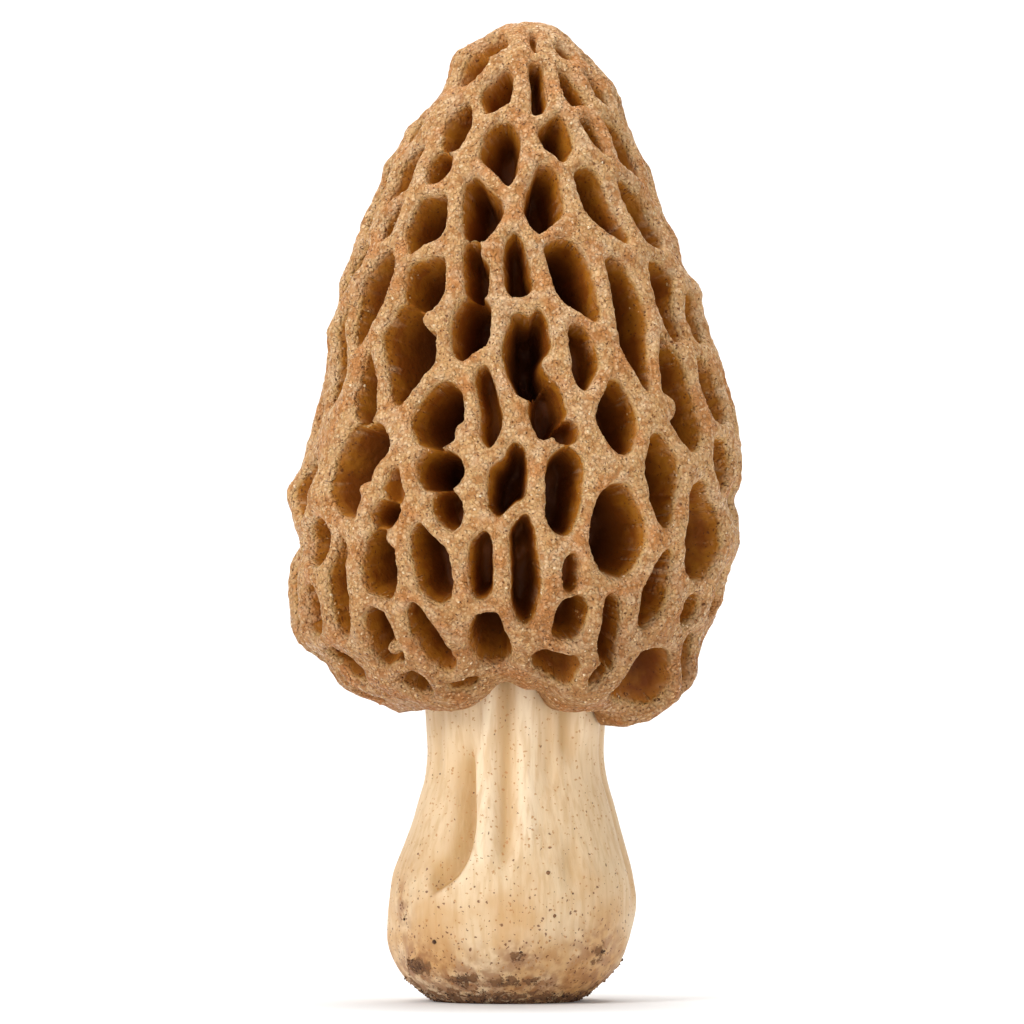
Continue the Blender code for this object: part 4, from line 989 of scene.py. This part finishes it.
capLook = {
    # colour by depth, from the ridges' colour through a pale band and amber walls, darkening into
    # painted shade deep in the pits: the deepest pit is 8 mm
    "deepest": 8.0,
    "skinAndPaintedShadeByDepth": [
        (0.0, (0.62, 0.35, 0.14)), (0.05, (0.70, 0.44, 0.21)), (0.11, (0.62, 0.36, 0.13)),
        (0.16, (0.43, 0.155, 0.012)), (0.34, (0.23, 0.06, 0.003)), (1.0, (0.075, 0.018, 0.002)),
    ],
    # patches: how fine, between which limits of the noise, how much of the colour
    "amber": {"colour": (0.42, 0.16, 0.010), "scale": 0.3, "limits": (0.42, 0.64), "share": 0.7},
    "amberDepth": (5.5, 2.0),
    "pink": {"colour": (0.56, 0.22, 0.06), "scale": 0.3, "limits": (0.47, 0.64), "share": 0.8},
    "pale": {"colour": (0.75, 0.51, 0.30), "scale": 0.45, "limits": (0.45, 0.7), "share": 0.7},
    "mottle": {"colour": (0.40, 0.16, 0.035), "scale": 1.1, "limits": (0.46, 0.62), "share": 0.7},
    "topDepth": (0.35, 0.7),
    # painted shade in the crevices between the grains on the ridge tops
    "paintedCreviceShade": {"colour": (0.30, 0.115, 0.03), "share": 0.4},
    # the tops of the grains: partly their own paler colour, partly a painted glint
    "grain": {"colour": (0.80, 0.55, 0.31), "share": 0.45},
    "grainScale": 2.3, "paleGrainGlintShades": (0.4, 0.9),
    "speck": {"colour": (0.12, 0.036, 0.008), "scale": 1.5, "radius": 0.3, "amount": 0.5,
              "share": 0.85},
    "fineSpeck": {"scale": 2.8, "radius": 0.42, "amount": 0.4},
    "margin": (0.73, 0.67, 0.61), "marginHeights": (34.0, 52.0),
    "roughCrest": 0.62, "roughPit": 0.6, "wetGrain": 0.34,
    # bumps in metres
    "grainBump": 0.00016, "fineBump": 0.0005, "fineScale": 1.3, "fineDetail": 3.0,
    "pitBumpShare": 0.3,
    "gloss": 0.2, "glow": 0.07, "glowColours": (1.0, 0.45, 0.2), "glowDepth": 0.0006,
}


def capMaterial(grains, specks, blotches):
    look, tree, shader, place = newMaterial("cap_skin")
    sunk = attributeNode(tree, "sunk")
    crest = attributeNode(tree, "crest")
    top = rangeNode(tree, sunk, *capLook["topDepth"], 1.0, 0.0)
    # colour by depth: the skin's own tones, darkening partly into painted shade deep in the pits
    colour = rampNode(tree, mathNode(tree, "DIVIDE", sunk, capLook["deepest"]), capLook["skinAndPaintedShadeByDepth"])

    amber = patchMask(tree, blotches, place, capLook["amber"])
    shallow = rangeNode(tree, sunk, *capLook["amberDepth"])
    colour = tint(tree, colour, capLook["amber"], amber, inverse(tree, crest), shallow)
    for name, mask in (("pink", crest), ("pale", crest), ("mottle", top)):
        patch = patchMask(tree, blotches, place, capLook[name])
        colour = tint(tree, colour, capLook[name], patch, mask)

    grain = useGroup(tree, grains, place, Scale=capLook["grainScale"])
    shade = useGroup(tree, grains, place, "Shade", Scale=capLook["grainScale"])
    # painted shade darkens the crevices between the grains
    colour = tint(tree, colour, capLook["paintedCreviceShade"], inverse(tree, grain), top)
    raised = product(tree, grain, crest)
    # the raised grains are painted paler: partly their own colour, partly a painted glint
    light = product(tree, rangeNode(tree, shade, *capLook["paleGrainGlintShades"]), raised)
    colour = tint(tree, colour, capLook["grain"], light)
    speck = speckMask(tree, specks, place, capLook["speck"])
    fineSpeck = speckMask(tree, specks, place, capLook["fineSpeck"])
    colour = tint(tree, colour, capLook["speck"], mathNode(tree, "MAXIMUM", speck, fineSpeck))

    # the lower edge is darker
    parts = addNode(tree, "ShaderNodeSeparateXYZ")
    tree.links.new(place, parts.inputs["Vector"])
    nearMargin = rangeNode(tree, parts.outputs["Z"], *capLook["marginHeights"], 1.0, 0.0)
    colour = mixColour(tree, nearMargin, colour, capLook["margin"], "MULTIPLY")
    tree.links.new(colour, shader.inputs["Base Color"])

    rough = rangeNode(tree, crest, 0.0, 1.0, capLook["roughPit"], capLook["roughCrest"])
    wet = product(tree, light, capLook["wetGrain"])
    tree.links.new(mathNode(tree, "SUBTRACT", rough, wet), shader.inputs["Roughness"])

    fine = noiseNode(tree, place, capLook["fineScale"], capLook["fineDetail"])
    fine = product(tree, fine, rangeNode(tree, crest, 0.0, 1.0, capLook["pitBumpShare"], 1.0))
    normal = bumpNode(tree, fine, capLook["fineBump"])
    tree.links.new(bumpNode(tree, raised, capLook["grainBump"], normal), shader.inputs["Normal"])
    setFlesh(shader, capLook)
    return look


grainLook = {
    "byTone": [
        (0.0, (0.10, 0.032, 0.010)), (0.2, (0.20, 0.075, 0.024)), (0.26, (0.42, 0.19, 0.065)),
        (0.5, (0.56, 0.30, 0.11)), (0.85, (0.66, 0.40, 0.18)), (1.0, (0.82, 0.60, 0.38)),
    ],
    "pink": {"colour": (0.56, 0.22, 0.06), "scale": 0.3, "limits": (0.5, 0.68), "share": 0.8},
    "pinkTones": (0.2, 0.26),     # the dark slivers stay dark
    "rough": (0.5, 0.22),
    "gloss": 0.5, "glow": 0.2, "glowColours": (1.0, 0.5, 0.25), "glowDepth": 0.0006,
}


def grainMaterial(blotches):
    look, tree, shader, place = newMaterial("cap_grains")
    tone = attributeNode(tree, "tone")
    colour = rampNode(tree, tone, grainLook["byTone"])
    pink = patchMask(tree, blotches, place, grainLook["pink"])
    colour = tint(tree, colour, grainLook["pink"], pink, rangeNode(tree, tone, *grainLook["pinkTones"]))
    tree.links.new(colour, shader.inputs["Base Color"])
    tree.links.new(rangeNode(tree, tone, 0.0, 1.0, *grainLook["rough"]), shader.inputs["Roughness"])
    setFlesh(shader, grainLook)
    return look


stemLook = {
    "flesh": (0.76, 0.56, 0.34),
    # painted shade in the grooves of the flutes, and painted light on their ridges
    "groove": (0.52, 0.31, 0.12), "grooveFolds": (0.0, 0.9),
    "ridge": (0.85, 0.67, 0.45), "ridgeFolds": (0.0, -0.5),
    "streak": {"colour": (0.60, 0.38, 0.18), "scale": 1.6, "limits": (0.42, 0.7), "share": 0.55},
    "streakStretch": 0.12,
    "tan": {"colour": (0.56, 0.29, 0.09), "scale": 0.16, "limits": (0.38, 0.66), "share": 0.9},
    "tanHeights": (1.0, 24.0),
    "stain": {"colour": (0.28, 0.095, 0.02), "scale": 0.8, "limits": (0.36, 0.62), "share": 1.0},
    "fleck": {"colour": (0.46, 0.19, 0.045), "scale": 2.5, "radius": 0.46, "amount": 0.45,
              "share": 0.7},
    "freckle": {"colour": (0.15, 0.042, 0.009), "scale": 1.6, "radius": 0.24, "amount": 0.2,
                "share": 0.85},
    "footFreckle": {"scale": 2.3, "radius": 0.46}, "footHeights": (0.0, 22.0), "footFreckles": 0.6,
    "clodScale": 1.1, "clodDetail": 6.0, "clodRoughness": 0.65, "clodLimits": (0.4, 0.62),
    "soilLight": (0.25, 0.12, 0.05), "soilDark": (0.055, 0.024, 0.011),
    # the clods break up the edge of the earth
    "brokenShare": 2.4, "soilLimits": (0.55, 0.8), "soilFade": (0.08, 0.3),
    "roughFlesh": 0.5, "roughSoil": 0.9,
    "fibreScale": 2.6, "fibreDetail": 4.0, "fibreBump": 0.00005, "soilBump": 0.0001,
    "crumbPatch": {"scale": 1.6, "limits": (0.4, 0.62)},
    "gloss": 0.4, "glow": 0.08, "glowColours": (1.0, 0.6, 0.35), "glowDepth": 0.0007,
}


def stemMaterial(specks, blotches):
    look, tree, shader, place = newMaterial("stem_skin")
    fold = attributeNode(tree, "fold")
    dirt = attributeNode(tree, "dirt")
    stained = attributeNode(tree, "stain")
    height = attributeNode(tree, "height")
    # painted shade in the grooves of the flutes, and painted light on their ridges
    groove = rangeNode(tree, fold, *stemLook["grooveFolds"])
    colour = mixColour(tree, groove, stemLook["flesh"], stemLook["groove"])
    ridge = rangeNode(tree, fold, *stemLook["ridgeFolds"])
    colour = mixColour(tree, ridge, colour, stemLook["ridge"])

    # streaks and fibres are drawn out up the stem
    stretched = addNode(tree, "ShaderNodeVectorMath", operation="MULTIPLY")
    stretched.inputs[1].default_value = (1.0, 1.0, stemLook["streakStretch"])
    tree.links.new(place, stretched.inputs[0])
    drawnOut = stretched.outputs["Vector"]
    streak = patchMask(tree, blotches, drawnOut, stemLook["streak"])
    colour = tint(tree, colour, stemLook["streak"], streak)

    lower = rangeNode(tree, height, *stemLook["tanHeights"], 1.0, 0.0)
    for name, mask in (("tan", lower), ("stain", stained)):
        patch = patchMask(tree, blotches, place, stemLook[name])
        colour = tint(tree, colour, stemLook[name], patch, mask)

    fleck = speckMask(tree, specks, place, stemLook["fleck"])
    colour = tint(tree, colour, stemLook["fleck"], fleck)
    freckle = speckMask(tree, specks, place, stemLook["freckle"])
    nearFoot = rangeNode(tree, height, *stemLook["footHeights"], 1.0, 0.0)
    amount = mathNode(tree, "MAXIMUM", product(tree, nearFoot, stemLook["footFreckles"]), stained)
    footFreckle = speckMask(tree, specks, place, stemLook["footFreckle"], amount)
    colour = tint(tree, colour, stemLook["freckle"], mathNode(tree, "MAXIMUM", freckle, footFreckle))

    clods = noiseNode(tree, place, stemLook["clodScale"], stemLook["clodDetail"],
                      stemLook["clodRoughness"])
    earth = mixColour(tree, rangeNode(tree, clods, *stemLook["clodLimits"]), stemLook["soilDark"],
                      stemLook["soilLight"])
    broken = product(tree, mathNode(tree, "SUBTRACT", clods, 0.5), stemLook["brokenShare"])
    covered = rangeNode(tree, mathNode(tree, "ADD", dirt, broken), *stemLook["soilLimits"])
    covered = product(tree, covered, rangeNode(tree, dirt, *stemLook["soilFade"]))
    colour = mixColour(tree, covered, colour, earth)
    tree.links.new(colour, shader.inputs["Base Color"])
    rough = rangeNode(tree, covered, 0.0, 1.0, stemLook["roughFlesh"], stemLook["roughSoil"])
    tree.links.new(rough, shader.inputs["Roughness"])

    fibre = noiseNode(tree, drawnOut, stemLook["fibreScale"], stemLook["fibreDetail"])
    normal = bumpNode(tree, fibre, stemLook["fibreBump"])
    gritty = product(tree, clods, covered)
    tree.links.new(bumpNode(tree, gritty, stemLook["soilBump"], normal), shader.inputs["Normal"])
    setFlesh(shader, stemLook)
    return look


def crumbMaterial(blotches):
    look, tree, shader, place = newMaterial("earth_crumbs")
    patch = patchMask(tree, blotches, place, stemLook["crumbPatch"])
    tree.links.new(mixColour(tree, patch, stemLook["soilDark"], stemLook["soilLight"]),
                   shader.inputs["Base Color"])
    shader.inputs["Roughness"].default_value = stemLook["roughSoil"]
    return look


# Stage, light and camera

studio = {
    "floorHalfWidth": 2.2, "floorFront": -2.2, "floorBack": 0.7, "sweepRadius": 0.5, "sweepSteps": 16,
    "wallTop": 2.4, "floorColour": (0.93, 0.93, 0.93), "floorRoughness": 0.9,
    "world": 0.36, "seenWorld": 1.0,     # as a light, and as the camera sees it
    "lights": [
        # name, place, aim, size, watts
        ("key", (-0.70, -0.70, 0.62), (0, 0, 0.055), 0.50, 8.0),
        ("fill", (0.65, -0.75, 0.30), (0, 0, 0.055), 0.60, 1.8),
        ("top", (0.05, 0.10, 0.90), (0, 0, 0.055), 0.60, 3.5),
        ("backdrop", (0.0, 0.35, 1.10), (0, 1.1, 0.10), 0.90, 9.0),
    ],
    # the photograph's width in pixels, its scale, and what stands in its middle, in mm
    "photoWidth": 1024, "mmPerPixel": 0.11, "photoMiddle": (0.67, 53.8), "lens": 400.0,
    "farthestSeen": 20.0,
}


def buildStage():
    # a floor that sweeps up into a backdrop, extruded sideways from one line; it can be seen
    # only from the object's side, so that it hides nothing from behind or below
    bm = bmesh.new()
    left = -studio["floorHalfWidth"]
    line = [(left, studio["floorFront"], 0.0), (left, studio["floorBack"], 0.0)]
    radius = studio["sweepRadius"]
    for step in range(1, studio["sweepSteps"] + 1):
        turn = 0.5 * math.pi * step / studio["sweepSteps"]
        back = studio["floorBack"] + radius * math.sin(turn)
        line.append((left, back, radius * (1 - math.cos(turn))))
    line.append((left, studio["floorBack"] + radius, studio["wallTop"]))
    verts = [bm.verts.new(point) for point in line]
    edges = [bm.edges.new(pair) for pair in zip(verts, verts[1:])]
    made = bmesh.ops.extrude_edge_only(bm, edges=edges)["geom"]
    moving = [item for item in made if isinstance(item, bmesh.types.BMVert)]
    bmesh.ops.translate(bm, verts=moving, vec=(2 * studio["floorHalfWidth"], 0, 0))
    look = bpy.data.materials.new("paper_sweep")
    look.use_nodes = True
    shader = look.node_tree.nodes["Principled BSDF"]
    shader.inputs["Base Color"].default_value = (*studio["floorColour"], 1.0)
    shader.inputs["Roughness"].default_value = studio["floorRoughness"]
    tree = look.node_tree
    side = addNode(tree, "ShaderNodeNewGeometry")
    clear = addNode(tree, "ShaderNodeBsdfTransparent")
    oneSided = addNode(tree, "ShaderNodeMixShader")
    tree.links.new(side.outputs["Backfacing"], oneSided.inputs[0])
    tree.links.new(shader.outputs["BSDF"], oneSided.inputs[1])
    tree.links.new(clear.outputs["BSDF"], oneSided.inputs[2])
    tree.links.new(oneSided.outputs["Shader"], tree.nodes["Material Output"].inputs["Surface"])
    floor = finishMesh("floor", bm, look)
    if floor.data.polygons[0].normal.z < 0:
        floor.data.flip_normals()


def buildLights():
    # white paper all round, dimmer as a light than it looks
    world = bpy.data.worlds.new("studio")
    world.use_nodes = True
    tree = world.node_tree
    glow = tree.nodes["Background"]
    glow.inputs["Color"].default_value = (1.0, 1.0, 1.0, 1.0)
    seen = addNode(tree, "ShaderNodeLightPath").outputs["Is Camera Ray"]
    strength = rangeNode(tree, seen, 0.0, 1.0, studio["world"], studio["seenWorld"])
    tree.links.new(strength, glow.inputs["Strength"])
    bpy.context.scene.world = world
    for name, place, aim, size, watts in studio["lights"]:
        lamp = bpy.data.lights.new(name, "AREA")
        lamp.size = size
        lamp.energy = watts
        holder = bpy.data.objects.new(name, lamp)
        holder.location = place
        holder.rotation_euler = (Vector(aim) - Vector(place)).to_track_quat("-Z", "Y").to_euler()
        bpy.context.scene.collection.objects.link(holder)


def buildCamera():
    # straight at the mushroom's front, through a long lens
    camera = bpy.data.cameras.new("camera")
    camera.lens = studio["lens"]
    camera.clip_end = studio["farthestSeen"]
    seen = studio["photoWidth"] * studio["mmPerPixel"] * mm
    side, height = studio["photoMiddle"]
    distance = seen * studio["lens"] / camera.sensor_width
    holder = bpy.data.objects.new("camera", camera)
    holder.location = (side * mm, -distance, height * mm)
    holder.rotation_euler = (math.pi / 2, 0, 0)
    bpy.context.scene.collection.objects.link(holder)
    bpy.context.scene.camera = holder


grains = grainGroup()
specks = speckGroup()
blotches = blotchGroup()
stem = buildStem(stemMaterial(specks, blotches))
buildCrumbs(stem, crumbMaterial(blotches))
cap = buildCap(capMaterial(grains, specks, blotches))
strewGrains(cap, grainMaterial(blotches))
buildStage()
buildLights()
buildCamera()
bpy.context.scene.view_settings.view_transform = "Standard"
print("studio ready")
